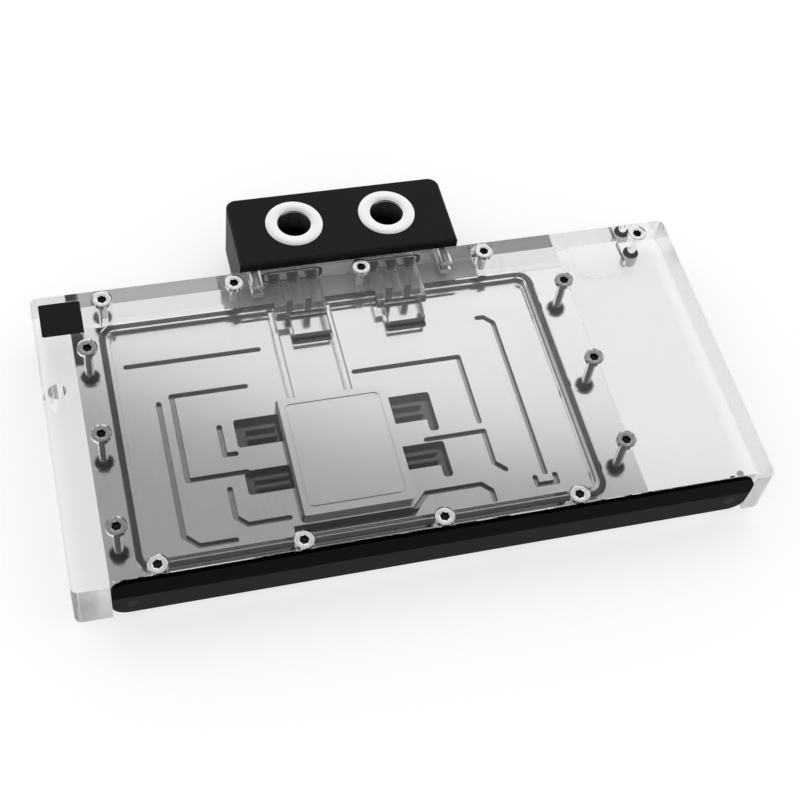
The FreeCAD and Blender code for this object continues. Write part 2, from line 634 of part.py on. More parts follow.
def cold_plate():
    plate = rounded_slab(PLATE_RECT, UNDERSIDE_Z, PLATE_Z, PLATE_CORNER_R).fuse(contact_pads())
    cuts = fin_channels() + wells() + landing_slots() + [front_well()]
    for trace in TRACES:
        points = [(CORE_CENTRE_X + dx, CORE_CENTRE_Y + dy) for dx, dy in trace]
        cuts.append(slot(points, TRACE_WIDTH, PLATE_Z - TRACE_DEPTH, PLATE_Z + OVERRUN))
    for x, y in cover_screw_places():
        cuts.append(rod(x, y, PLATE_Z - SCREW_THREAD_DEPTH - THREAD_RUNOUT, PLATE_Z + OVERRUN,
                        SCREW_R + SEAT_GAP))
    for x, y in chip_standoff_places() + edge_standoff_places():
        cuts.append(rod(x, y, 0, UNDERSIDE_Z + STANDOFF_STUD_LENGTH + THREAD_RUNOUT,
                        STANDOFF_STUD_R + SEAT_GAP))
    return plate.cut(cuts).removeSplitter()


# ---- Core ---------------------------------------------------------------------------------
def core_cover():
    """Square lid over the fins, open on its back side to the inlet channel."""
    cover = rounded_slab(CORE_RECT, PLATE_Z, CORE_TOP_Z, CORE_CORNER_R)
    inside = grown(CORE_RECT, -CORE_WALL)
    ceiling = CORE_TOP_Z - CORE_ROOF
    border = grown(CORE_RECT, -CORE_BORDER_INSET)
    return cover.cut([
        box(*inside, PLATE_Z, ceiling),
        box(GUIDE_MIDDLE_X - CORE_INLET_LENGTH / 2, GUIDE_MIDDLE_X + CORE_INLET_LENGTH / 2,
            inside[3] - OVERRUN, CORE_RECT[3] + OVERRUN, PLATE_Z, ceiling),
        round_band(border, CORE_TOP_Z - CORE_BORDER_DEPTH, CORE_TOP_Z, CORE_BORDER_WIDTH,
                   CORE_CORNER_R),
    ])


def jet_plate():
    """Thin plate on the fins with one slot across their middle."""
    rect = grown(CORE_RECT, -CORE_WALL - JET_PLATE_CLEARANCE)
    sheet = box(*rect, PLATE_Z, PLATE_Z + JET_PLATE_THICKNESS)
    half = JET_SLOT_LENGTH / 2
    slot_rect = (CORE_CENTRE_X - half, CORE_CENTRE_X + half,
                 CORE_CENTRE_Y - FIN_FIELD_WIDTH / 2, CORE_CENTRE_Y + FIN_FIELD_WIDTH / 2)
    return sheet.cut(box(*slot_rect, PLATE_Z - OVERRUN, PLATE_Z + OVERRUN))


# ---- Seals --------------------------------------------------------------------------------
def main_seal():
    """Cord that lies in the block's groove, squeezed flat against the plate."""
    return round_band(SEAL_RECT, PLATE_Z, SEAT_Z + SEAL_GROOVE_DEPTH, SEAL_WIDTH, SEAL_CORNER_R)


def passage_rect(group_x):
    """Mouth of one group of passages on the back face, as (x0, x1, z0, z1)."""
    return group_x - GROUP_LENGTH / 2, group_x + GROUP_LENGTH / 2, PASSAGE_Z, PASSAGE_TOP_Z


def passage_ring(group_x, y0, y1, width):
    """Band around the mouth of one group of passages."""
    line = grown(passage_rect(group_x), PASSAGE_SEAL_OFFSET)
    outer = upright_slab(grown(line, width / 2), y0, y1, PASSAGE_SEAL_CORNER_R + width / 2)
    return outer.cut(upright_slab(grown(line, -width / 2), y0, y1, PASSAGE_SEAL_CORNER_R - width / 2))


def passage_seal(index):
    return passage_ring(GROUP_X[index], BLOCK_WIDTH, TERMINAL_FRONT + PASSAGE_SEAL_DEPTH,
                        PASSAGE_SEAL_WIDTH)


def port_seal(index):
    """Ring under the flange of a port insert, and the groove that it fills."""
    x = PORT_X[index]
    low = FLANGE_Z - PORT_SEAL_HEIGHT
    middle = (SLEEVE_R + FLANGE_R) / 2
    ring = rod(x, PORT_Y, low, FLANGE_Z, middle + PORT_SEAL_WIDTH / 2)
    return ring.cut(rod(x, PORT_Y, low, FLANGE_Z, middle - PORT_SEAL_WIDTH / 2))


def plug_seal(index):
    """Ring between a plug's head and the floor of its seat."""
    head_top = UNDERSIDE_Z + PLUG_HEAD_HEIGHT
    ring = rod(PORT_X[index], PORT_Y, head_top, PLUG_SEAT_Z, PORT_WELL_R + PLUG_SEAL_WIDTH)
    return ring.cut(rod(PORT_X[index], PORT_Y, head_top, PLUG_SEAT_Z, PORT_WELL_R))


# ---- Terminal -----------------------------------------------------------------------------
def terminal_outline():
    """Plan of the terminal: square front corners, round back corners."""
    r = TERMINAL_CORNER_R
    middle = r * (1 - math.sqrt(0.5))
    left, right, front, back = TERMINAL_LEFT, TERMINAL_RIGHT, TERMINAL_FRONT, TERMINAL_BACK
    edges = [
        Part.LineSegment(V(left, front), V(right, front)),
        Part.LineSegment(V(right, front), V(right, back - r)),
        Part.Arc(V(right, back - r), V(right - middle, back - middle), V(right - r, back)),
        Part.LineSegment(V(right - r, back), V(left + r, back)),
        Part.Arc(V(left + r, back), V(left + middle, back - middle), V(left, back - r)),
        Part.LineSegment(V(left, back - r), V(left, front)),
    ]
    wire = Part.Wire([edge.toShape() for edge in edges])
    wire.translate(V(0, 0, UNDERSIDE_Z))
    return Part.Face(wire)


def terminal_block():
    body = terminal_outline().extrude(V(0, 0, TERMINAL_Z - UNDERSIDE_Z))
    body = body.makeChamfer(TERMINAL_CHAMFER, edges_at(body, TERMINAL_Z))
    cuts = []
    for index, (port_x, group_x) in enumerate(zip(PORT_X, GROUP_X)):
        cuts.append(rod(port_x, PORT_Y, UNDERSIDE_Z - OVERRUN, TERMINAL_Z + OVERRUN, PORT_WELL_R))
        cuts.append(rod(port_x, PORT_Y, FLANGE_Z - SLEEVE_LENGTH, TERMINAL_Z + OVERRUN,
                        SLEEVE_R + SEAT_GAP))
        cuts.append(rod(port_x, PORT_Y, FLANGE_Z, TERMINAL_Z + OVERRUN, FLANGE_R + SEAT_GAP))
        cuts.append(port_seal(index))
        cuts.append(rod(port_x, PORT_Y, UNDERSIDE_Z - OVERRUN, PLUG_SEAT_Z, PLUG_SEAT_R))
        x0, x1, z0, z1 = passage_rect(group_x)
        half = PORT_CHANNEL_WIDTH / 2
        narrowing = TERMINAL_FRONT + PORT_CHANNEL_MOUTH
        cuts.append(prism([(x0, TERMINAL_FRONT - OVERRUN), (x1, TERMINAL_FRONT - OVERRUN),
                           (x1, narrowing), (port_x + half, PORT_Y), (port_x - half, PORT_Y),
                           (x0, narrowing)], z0, z1))
        cuts.append(passage_ring(group_x, BLOCK_WIDTH - OVERRUN, TERMINAL_FRONT + PASSAGE_SEAL_DEPTH,
                                 PASSAGE_SEAL_WIDTH))
    for x, z in terminal_screw_places():
        cuts.append(rod_y(x, z, BLOCK_WIDTH - OVERRUN, TERMINAL_BACK + OVERRUN, TERMINAL_SCREW_HOLE_R))
        cuts.append(rod_y(x, z, TERMINAL_BACK - TERMINAL_SCREW_BORE_DEPTH, TERMINAL_BACK + OVERRUN,
                          TERMINAL_SCREW_BORE_R))
    return body.cut(cuts).removeSplitter()


def port_insert(index):
    """Flanged threaded sleeve that lines a port."""
    x = PORT_X[index]
    top = FLANGE_Z + FLANGE_THICKNESS
    sleeve = rod(x, PORT_Y, FLANGE_Z, top, FLANGE_R)
    sleeve = sleeve.makeChamfer(FLANGE_PROUD, edges_at(sleeve, top))
    sleeve = sleeve.fuse(rod(x, PORT_Y, FLANGE_Z - SLEEVE_LENGTH, FLANGE_Z, SLEEVE_R))
    mouth = Part.makeCone(PORT_BORE_R, PORT_BORE_R + PORT_MOUTH_CHAMFER, PORT_MOUTH_CHAMFER,
                          V(x, PORT_Y, top - PORT_MOUTH_CHAMFER))
    bore = rod(x, PORT_Y, FLANGE_Z - SLEEVE_LENGTH, top, PORT_BORE_R)
    return sleeve.cut([bore, mouth]).removeSplitter()


def port_plug(index):
    """Plug that closes a port from below, driven by a hexagon key."""
    x = PORT_X[index]
    head_top = UNDERSIDE_Z + PLUG_HEAD_HEIGHT
    plug = rod(x, PORT_Y, UNDERSIDE_Z, head_top, PLUG_HEAD_R)
    plug = plug.makeChamfer(PLUG_CHAMFER, edges_at(plug, UNDERSIDE_Z))
    body = rod(x, PORT_Y, head_top, head_top + PLUG_BODY_LENGTH, PORT_WELL_R - PLUG_BODY_CLEARANCE)
    socket = hexagon(x, PORT_Y, UNDERSIDE_Z, UNDERSIDE_Z + PLUG_HEX_DEPTH, PLUG_HEX)
    return plug.fuse(body).cut(socket).removeSplitter()


# ---- Fasteners ----------------------------------------------------------------------------
def cover_screws(places):
    tip = PLATE_Z - SCREW_THREAD_DEPTH
    return [cap_screw(x, y, COVER_HEAD_Z, tip, SCREW_R, SCREW_HEAD_R, SCREW_HEAD_HEIGHT)
            for x, y in places]


def corner_screw():
    x, y = corner_screw_place()
    return cap_screw(x, y, COVER_HEAD_Z, UNDERSIDE_Z - SCREW_THREAD_DEPTH, SCREW_R, SCREW_HEAD_R,
                     SCREW_HEAD_HEIGHT)


def corner_standoff():
    """Standoff pulled up under the block by the corner screw."""
    x, y = corner_screw_place()
    return rod(x, y, 0, UNDERSIDE_Z, CORNER_STANDOFF_R).cut(rod(x, y, 0, UNDERSIDE_Z, SCREW_R + SEAT_GAP))


def studded_standoff(x, y, stud_length):
    """Hexagonal post with a stud on top and a threaded bore in its foot."""
    post = hexagon(x, y, 0, UNDERSIDE_Z, STANDOFF_ACROSS_FLATS).fuse(
        rod(x, y, UNDERSIDE_Z, UNDERSIDE_Z + stud_length, STANDOFF_STUD_R))
    return post.cut(rod(x, y, 0, STANDOFF_BORE_DEPTH, STANDOFF_BORE_R))


def board_standoffs(places):
    return [studded_standoff(x, y, STANDOFF_STUD_LENGTH) for x, y in places]


def front_standoff():
    return studded_standoff(*front_standoff_place(), FRONT_STUD_LENGTH)


def terminal_screws():
    """Screws driven forwards through the terminal into the inserts in the block."""
    head_y = TERMINAL_BACK - TERMINAL_SCREW_BORE_DEPTH
    tip_y = BLOCK_WIDTH - INSERT_LENGTH + THREAD_RUNOUT
    screws = []
    for x, z in terminal_screw_places():
        screw = cap_screw(0, 0, 0, tip_y - head_y, TERMINAL_SCREW_R, TERMINAL_SCREW_HEAD_R,
                          TERMINAL_SCREW_HEAD_HEIGHT)
        screw.rotate(V(0, 0, 0), V(1, 0, 0), -90)
        screw.translate(V(x, head_y, z))
        screws.append(screw)
    return screws


def terminal_inserts():
    """Threaded inserts pressed into the back face of the block."""
    inserts = []
    for x, z in terminal_screw_places():
        sleeve = rod_y(x, z, BLOCK_WIDTH - INSERT_LENGTH, BLOCK_WIDTH, INSERT_R)
        inserts.append(sleeve.cut(rod_y(x, z, 0, BLOCK_WIDTH, TERMINAL_SCREW_R + SEAT_GAP)))
    return inserts


# ---- Light bar ----------------------------------------------------------------------------
def bar_face_y(z):
    """Front surface of the light bar at a height: flat above, bevelled back below."""
    drop = BAR_BOTTOM_Z + BAR_BEVEL_HEIGHT - z
    return max(0.0, drop) * BAR_BEVEL_DEPTH / BAR_BEVEL_HEIGHT


def light_bar():
    rect = (BAR_LEFT, BAR_RIGHT, BAR_BOTTOM_Z, BAR_TOP_Z)
    bar = upright_slab(rect, 0, BAR_THICKNESS, BAR_END_R)
    bevel_z = BAR_BOTTOM_Z + BAR_BEVEL_HEIGHT
    corners = [V(BAR_LEFT, 0, bevel_z), V(BAR_LEFT, BAR_BEVEL_DEPTH, BAR_BOTTOM_Z),
               V(BAR_LEFT, 0, BAR_BOTTOM_Z)]
    wedge = Part.Face(Part.makePolygon(corners + corners[:1])).extrude(V(BAR_LENGTH, 0, 0))
    cuts = [wedge]
    for x, z in bar_screw_places():
        face = bar_face_y(z + BAR_SCREW_HEAD_R)
        cuts.append(rod_y(x, z, -OVERRUN, BAR_THICKNESS, BAR_SCREW_R + SEAT_GAP))
        cuts.append(rod_y(x, z, -OVERRUN, face, BAR_SCREW_HEAD_R + SEAT_GAP))
        cuts.append(bar_screw_cone(x, z, SEAT_GAP))
    return bar.cut(cuts).removeSplitter()


def bar_screw_cone(x, z, clearance):
    """Countersunk head, or its seat when a clearance is given."""
    face = bar_face_y(z + BAR_SCREW_HEAD_R)
    return Part.makeCone(BAR_SCREW_HEAD_R + clearance, BAR_SCREW_R + clearance, BAR_SCREW_HEAD_DEPTH,
                         V(x, face, z), V(0, 1, 0))


def bar_screws():
    screws = []
    for x, z in bar_screw_places():
        head = bar_screw_cone(x, z, 0.0)
        shank = rod_y(x, z, BAR_SCREW_HEAD_DEPTH, BAR_SCREW_LENGTH, BAR_SCREW_R)
        screws.append(head.fuse(shank).removeSplitter())
    return screws


def light_board():
    """Strip of circuit board lying against the back of the bar."""
    x0, x1, z0, z1 = grown(channel_rect(), -LIGHT_BOARD_CLEARANCE)
    return box(x0, x1, BAR_THICKNESS, BAR_THICKNESS + LIGHT_BOARD_THICKNESS, z0, z1)


def lamps():
    """Square lamps in a row on the strip of board."""
    x0, x1, z0, z1 = channel_rect()
    pitch = (x1 - x0) / LAMP_COUNT
    z = (z0 + z1 - LAMP_SIZE) / 2
    y = BAR_THICKNESS + LIGHT_BOARD_THICKNESS
    starts = [x0 + (i + 0.5) * pitch - LAMP_SIZE / 2 for i in range(LAMP_COUNT)]
    return [box(x, x + LAMP_SIZE, y, y + LAMP_HEIGHT, z, z + LAMP_SIZE) for x in starts]


# ---- Badge --------------------------------------------------------------------------------
def badge_rect(margin=0.0):
    back = BLOCK_WIDTH - BADGE_BACK_INSET
    return grown((BADGE_LEFT, BADGE_LEFT + BADGE_LENGTH, back - BADGE_WIDTH, back), margin)


def badge():
    """Plain square plate let into the block's back left corner."""
    return rounded_slab(badge_rect(), TOP_Z - BADGE_THICKNESS, TOP_Z, BADGE_CORNER_R)


# ---- Assembly -----------------------------------------------------------------------------
def place(shape):
    """Move a finished piece so that the origin lies under the middle of the whole."""
    moved = shape.copy()
    moved.translate(V(-BLOCK_LENGTH / 2, -(BLOCK_WIDTH + TERMINAL_DEPTH) / 2, 0))
    return moved


def pieces():
    """Every node of the cold plate with its shape."""
    return {
        "clear_block": clear_block(),
        "cold_plate": cold_plate(),
        "core_cover": core_cover(),
        "jet_plate": jet_plate(),
        "main_seal": main_seal(),
        "terminal_block": terminal_block(),
        "inlet_insert": port_insert(0),
        "outlet_insert": port_insert(1),
        "inlet_insert_seal": port_seal(0),
        "outlet_insert_seal": port_seal(1),
        "inlet_plug": port_plug(0),
        "outlet_plug": port_plug(1),
        "inlet_plug_seal": plug_seal(0),
        "outlet_plug_seal": plug_seal(1),
        "inlet_passage_seal": passage_seal(0),
        "outlet_passage_seal": passage_seal(1),
        "terminal_screws": Part.makeCompound(terminal_screws()),
        "terminal_inserts": Part.makeCompound(terminal_inserts()),
        "light_bar": light_bar(),
        "light_bar_screws": Part.makeCompound(bar_screws()),
        "light_board": light_board(),
        "lamps": Part.makeCompound(lamps()),
        "corner_badge": badge(),
        "front_cover_screws": Part.makeCompound(cover_screws(front_row())),
        "back_cover_screws": Part.makeCompound(cover_screws(back_row())),
        "left_cover_screws": Part.makeCompound(cover_screws(left_column())),
        "right_cover_screws": Part.makeCompound(cover_screws(right_column())),
        "corner_screw": corner_screw(),
        "corner_standoff": corner_standoff(),
        "front_standoff": front_standoff(),
        "chip_standoffs": Part.makeCompound(board_standoffs(chip_standoff_places())),
        "edge_standoffs": Part.makeCompound(board_standoffs(edge_standoff_places())),
    }


os.makedirs("parts", exist_ok=True)
for name, shape in pieces().items():
    place(shape).exportStep("parts/" + name + ".step")
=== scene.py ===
"""Finishes of a full-cover liquid cooling cold plate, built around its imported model.

The nodes keep their places and shapes and get worked surfaces. The turned and moulded small pieces,
such as screws with real threads and the seal cord, are modelled here in the nodes' places. Lengths
are in metres, in the model's own frame: x along the block, y towards the terminal, z up.
"""

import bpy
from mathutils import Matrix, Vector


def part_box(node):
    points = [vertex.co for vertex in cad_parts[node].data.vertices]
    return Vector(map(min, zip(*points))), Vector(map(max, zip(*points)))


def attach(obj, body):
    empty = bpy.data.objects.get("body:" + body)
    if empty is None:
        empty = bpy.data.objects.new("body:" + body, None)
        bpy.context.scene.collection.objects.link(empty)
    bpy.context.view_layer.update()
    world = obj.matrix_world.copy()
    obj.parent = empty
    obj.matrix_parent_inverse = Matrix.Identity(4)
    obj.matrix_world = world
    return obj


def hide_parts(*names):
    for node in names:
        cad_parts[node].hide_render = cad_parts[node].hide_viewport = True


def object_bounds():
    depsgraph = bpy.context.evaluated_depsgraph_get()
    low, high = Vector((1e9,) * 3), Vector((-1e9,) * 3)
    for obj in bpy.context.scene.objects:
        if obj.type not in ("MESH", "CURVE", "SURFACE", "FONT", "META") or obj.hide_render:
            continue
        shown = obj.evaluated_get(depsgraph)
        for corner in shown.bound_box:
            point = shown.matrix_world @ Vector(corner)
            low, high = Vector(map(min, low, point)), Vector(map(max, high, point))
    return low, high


bl_info = {
    "name": "Cold Plate Finishes",
    "version": (1, 0, 0),
    "blender": (4, 5, 0),
    "location": "3D View > Sidebar > Cold Plate",
    "description": "Surfaces, turned pieces and studio of a liquid cooling cold plate",
    "category": "Object",
}

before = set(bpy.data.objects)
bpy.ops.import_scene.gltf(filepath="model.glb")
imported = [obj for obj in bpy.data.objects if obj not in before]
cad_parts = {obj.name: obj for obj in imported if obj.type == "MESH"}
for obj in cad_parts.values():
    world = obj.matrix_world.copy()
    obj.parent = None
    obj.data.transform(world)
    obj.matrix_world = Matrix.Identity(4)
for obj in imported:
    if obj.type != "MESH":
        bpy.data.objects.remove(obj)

import math

import bmesh
import bpy
from mathutils import Matrix, Vector

CAD_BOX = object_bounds()
BODY = "root"
MM = 0.001


# ---- What the frame says ------------------------------------------------------------------
def low(node):
    """Lowest corner of a node's box."""
    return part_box(node)[0]


def high(node):
    """Highest corner of a node's box."""
    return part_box(node)[1]


def middle(node):
    """Middle of a node's box."""
    return (low(node) + high(node)) / 2


BLOCK_TOP = high("clear_block").z
BLOCK_BACK = high("clear_block").y
PLATE_TOP = high("cold_plate").z
PLATE_FLOOR = low("clear_block").z
SCREW_TOP = high("front_cover_screws").z


# ---- Sizes that belong to the model's parts -----------------------------------------------
ACRYLIC_IOR = 1.49
POLISHED = 0.006                 # roughness of the polished acrylic
ACETAL_SHINE = 0.15              # specular level of dull black plastic
BAR_SHINE = 0.01                 # and of the light bar
MASK_EDGE = 0.05 * MM            # how soft the sharpest limit of a finish is
BLOCK_EDGE = 0.85 * MM           # the block's chamfer, and a little more
PASSAGE_DEPTH = 13.7 * MM        # how far the passages reach into the block from its back face
PASSAGE_FLOOR = 1.0 * MM         # above the plate
PASSAGE_ROOF = 1.6 * MM          # below the block's top
SUNK = (0.5 * MM, 0.15 * MM)     # below the plate's face: where the traces' painted shade is full, begins
WELLS = (2.2 * MM, 1.7 * MM)     # the same for the deep wells
RIB_TOPS = (1.15 * MM, 0.8 * MM)  # below the plate's face: the ribs' tops lie between these
UNDERSIDE = (0.3 * MM, 0.6 * MM)  # above the block's lower face: where the painted shade of traces and wells sets in
MARGIN_EDGE = 0.5 * MM           # how soft the start of the plate's margin behind the seal is
MARGIN_SLOPE = 0.2               # how far that margin leans forward on both sides of the terminal
TERMINAL_MARGIN = 6.0 * MM       # the terminal's stretch of the margin reaches this far beside it
LID_SHADE_EDGE = (0.8 * MM, 1.1 * MM)  # where the painted shade on the left edge of the core's lid ends
LID_LINE = (0.2 * MM, 0.05 * MM)  # below the lid's top: its engraved line is full, begins
BAR_BAND = 11.0 * MM             # height of the light bar's satin band, grey as a painted reflection
RING_LIP = 0.8 * MM              # bright rim of a port above its thread
ROUNDED_EDGE = 0.3 * MM          # of screws and sleeves
SEAL_WIDTH = 2.2 * MM
SEAL_CORNER = 6.1 * MM           # outer corner radius of the seal cord
SEAL_PLUMPNESS = 0.62            # of its section: 1 is oval, 0 is square
PORT_PITCH = 1.337 * MM          # G1/4 thread
PORT_THREAD_DEPTH = 0.6 * MM
SLEEVE_RADIUS = 8.0 * MM
FLANGE_HEIGHT = 1.4 * MM
FLANGE_WIDTH = 4.8 * MM          # from a port's bore to the rim of its flange
SCREW_HEAD_HEIGHT = 2.2 * MM
SCREW_SHANK_RADIUS = 1.5 * MM
SCREW_TIP = 0.35 * MM
SCREW_TOP_EDGE = 0.25 * MM       # bright rim of a screw's head above its side of painted shade
SCREW_TURN = 7.0 / MM            # each screw stops at its own angle: radians a metre of its place
HEAD_UNDERCUT = 0.1 * MM         # rounding under a screw's head
SOCKET = 3.0 * MM                # across its flats
SOCKET_MOUTH = 0.62              # radius of its countersink, and of its drilled end, in sockets
SOCKET_DRILL = 0.15
SOCKET_DEPTHS = (0.12 * MM, 1.4 * MM, 1.75 * MM)  # of the countersink, walls and drilled end
PANEL_TILT = 0.38                # the bright panel's edge runs askew: x counts this much of y
CEILING_FRONT = 0.06             # level of the ceiling at the front
CEILING_ZONES = (                # further back: where each zone starts, is full, what it adds
    (-0.25, 0.0, 0.40),
    (0.30, 0.45, -0.10),
    (0.572, 0.625, 0.63),
    (0.62, 0.75, 0.10),
)
WALL_EDGE = (0.58, 0.74)         # height of direction where the white walls end
SOFTBOX_EDGE = (0.90, 0.96)      # height of direction where the soft box overhead begins
SOFTBOX_LEVEL = 0.45
KEY_PLACE = (-1.1, 0.5, 1.0)
KEY_SIZE = 1.0
FLOOR_COLOUR = 0.62
FLOOR_REACH = 4.0
FLOOR_GAP = 0.05 * MM            # under the standoffs
LIGHT_BOUNCES = 16
ROUND_STEPS = 36                 # points round a screw
RING_STEPS = 96                  # points round a port
CORD_STEPS = 20                  # points round the seal cord
CORNER_STEPS = 12                # points along each of its corners


# ---- Sizes and colours that a user would change -------------------------------------------
def length(name, text, value):
    """A length in metres."""
    return bpy.props.FloatProperty(name=name, description=text, default=value, min=0.0,
                                   subtype="DISTANCE", unit="LENGTH", precision=5)


def amount(name, text, value):
    """A share from 0 to 1."""
    return bpy.props.FloatProperty(name=name, description=text, default=value, min=0.0, max=1.0,
                                   subtype="FACTOR")


def angle(name, text, degrees):
    """An angle whose default is given in degrees."""
    return bpy.props.FloatProperty(name=name, description=text, default=math.radians(degrees),
                                   subtype="ANGLE", unit="ROTATION")


def colour(name, text, value):
    """A colour without alpha."""
    return bpy.props.FloatVectorProperty(name=name, description=text, default=value, size=3,
                                         min=0.0, max=1.0, subtype="COLOR")


class ColdPlateFinish(bpy.types.PropertyGroup):
    """Colours and roughness of the surfaces."""
    acrylic: colour("Acrylic", "Tint of the clear block", (0.985, 0.99, 0.988))
    acrylic_frost: amount("Milled frost", "Roughness of the milled faces at the passages", 0.2)
    side_frost: amount("Side frost", "Roughness of the block's milled front and ends", 0.25)
    nickel: colour("Nickel", "Plated face of the cold plate", (0.85, 0.85, 0.84))
    # The traces' and wells' colours are the nickel darkened as painted shade.
    trace: colour("Traces", "Floors and walls of the milled traces", (0.38, 0.38, 0.38))
    well_shade: colour("Wells", "Floors of the deep wells", (0.12, 0.12, 0.122))
    nickel_roughness: amount("Nickel roughness", "Polish of the plated face", 0.10)
    margin_roughness: amount("Margin roughness", "Added in front of the terminal", 0.5)
    core: colour("Core", "Lid over the fins", (0.86, 0.86, 0.85))
    acetal: colour("Acetal", "Terminal and plugs", (0.005, 0.005, 0.0052))
    rubber: colour("Rubber", "Seals", (0.05, 0.05, 0.05))
    bar_upper: colour("Bar, upper band", "Gloss band of the light bar",
                      (0.0005, 0.0005, 0.0006))
    # The lower band's grey is a painted reflection; the gloss and satin roughness are the bar's
    # own.
    bar_lower_reflection: colour("Bar, lower band", "Satin band of the light bar", (0.026, 0.026, 0.0265))
    # Screw tops keep the steel's tone; the side screws' darker tops and all shanks are painted
    # shade.
    steel: colour("Steel", "Tops of the screws in front and behind", (0.86, 0.86, 0.855))
    shaded_steel: colour("Shaded steel", "Tops of the screws beside the chamber",
                       (0.36, 0.36, 0.355))
    screw_shade: colour("Screw shade", "Shanks and sockets of the cover screws",
                       (0.02, 0.02, 0.02))
    ring: colour("Port rings", "Flanges of the threaded sleeves", (0.92, 0.92, 0.915))


class ColdPlateSizes(bpy.types.PropertyGroup):
    """Sizes of what is modelled here."""
    thread_pitch: length("Thread pitch", "Pitch of the cover screws", 0.5 * MM)
    thread_depth: length("Thread depth", "Height of the cover screws' thread", 0.27 * MM)


class ColdPlateStudio(bpy.types.PropertyGroup):
    """Camera and light."""
    lens: bpy.props.FloatProperty(name="Lens", description="Focal length in millimetres",
                                  default=67.46, min=1.0, unit="CAMERA")
    place: bpy.props.FloatVectorProperty(name="Camera", description="Where the camera stands",
                                         size=3, default=(-0.1146, -0.2995, 0.4477),
                                         subtype="TRANSLATION", unit="LENGTH")
    heading: angle("Heading", "Direction of view, from straight along y towards x", 22.23)
    pitch: angle("Pitch", "Direction of view below the horizon", 54.61)
    roll: angle("Roll", "Turn of the camera about its line of view", 10.03)
    sky: bpy.props.FloatProperty(name="Sky", description="Strength of the light from all round",
                                 default=0.8, min=0.0)
    key: bpy.props.FloatProperty(name="Key light", description="Power of the soft light",
                                 default=1.6, min=0.0, unit="POWER")


# ---- Shader nodes written as expressions ---------------------------------------------------
class Signal:
    """A node's output in an expression: each operator adds the Math node that works it out."""

    def __init__(self, recipe, socket):
        self.recipe = recipe
        self.socket = socket

    def __add__(self, other):
        return self.recipe.math("ADD", self, other)

    def __sub__(self, other):
        return self.recipe.math("SUBTRACT", self, other)

    def __rsub__(self, other):
        return self.recipe.math("SUBTRACT", other, self)

    def __mul__(self, other):
        return self.recipe.math("MULTIPLY", self, other)

    __radd__ = __add__
    __rmul__ = __mul__


class Recipe:
    """The nodes of one material or of the world."""

    def __init__(self, tree):
        self.tree = tree
        tree.nodes.clear()

    def add(self, kind, settings=None, sockets=None, output=0):
        """Adds a node: its settings first, then values or signals for its sockets."""
        node = self.tree.nodes.new(kind)
        for name, value in (settings or {}).items():
            setattr(node, name, value)
        for name, value in (sockets or {}).items():
            if isinstance(value, Signal):
                self.tree.links.new(value.socket, node.inputs[name])
            else:
                node.inputs[name].default_value = value
        return None if output is None else Signal(self, node.outputs[output])

    def math(self, operation, *values):
        """A Math node that works on its values in their order."""
        return self.add("ShaderNodeMath", {"operation": operation}, dict(enumerate(values)))

    def place(self):
        """The point being shaded, in the model's frame."""
        return self.add("ShaderNodeTexCoord", output="Object")

    def along(self, axis):
        """One coordinate of that point."""
        return self.add("ShaderNodeSeparateXYZ", None, {0: self.place()}, output=axis)

    def rise(self, value, start, end):
        """0 below start, 1 above end, smooth between them."""
        return self.add("ShaderNodeMapRange", {"interpolation_type": "SMOOTHSTEP"},
                        {"Value": value, "From Min": start, "From Max": end})

    def fall(self, value, start, end):
        """1 below start, 0 above end, smooth between them."""
        return 1 - self.rise(value, start, end)

    def between(self, value, start, end, edge):
        """1 from start to end, with soft edges."""
        return self.rise(value, start - edge, start) * self.fall(value, end, end + edge)

    def noise(self, scale, detail=2.0, stretch=(1.0, 1.0, 1.0)):
        """Grey noise whose grains are 1 / scale metres across, drawn out by stretch."""
        stretched = self.add("ShaderNodeVectorMath", {"operation": "MULTIPLY"},
                             {0: self.place(), 1: stretch})
        return self.add("ShaderNodeTexNoise", None,
                        {"Vector": stretched, "Scale": scale, "Detail": detail})

    def mix(self, factor, first, second):
        """Two colours mixed by a factor."""
        return self.add("ShaderNodeMix", {"data_type": "RGBA"},
                        {0: factor, 6: as_rgba(first), 7: as_rgba(second)}, output=2)

    def relief(self, height, depth):
        """A bump normal from a height of 0 to 1, scaled to a depth in metres."""
        return self.add("ShaderNodeBump", None, {"Height": height, "Distance": depth})

    def surface(self, **sockets):
        """Ends the recipe with one shader."""
        names = {name.replace("_", " "): value for name, value in sockets.items()}
        shader = self.add("ShaderNodeBsdfPrincipled", None,
                          {name: as_rgba(value) for name, value in names.items()})
        self.add("ShaderNodeOutputMaterial", None, {"Surface": shader}, output=None)


def as_rgba(value):
    """A colour of three numbers with its alpha; anything else as it is."""
    if isinstance(value, (Signal, int, float)):
        return value
    return (*value[:3], 1.0)


# ---- Materials ----------------------------------------------------------------------------
def material(name):
    """A new material and the recipe of its nodes."""
    made = bpy.data.materials.new(name)
    made.use_nodes = True
    return made, Recipe(made.node_tree)


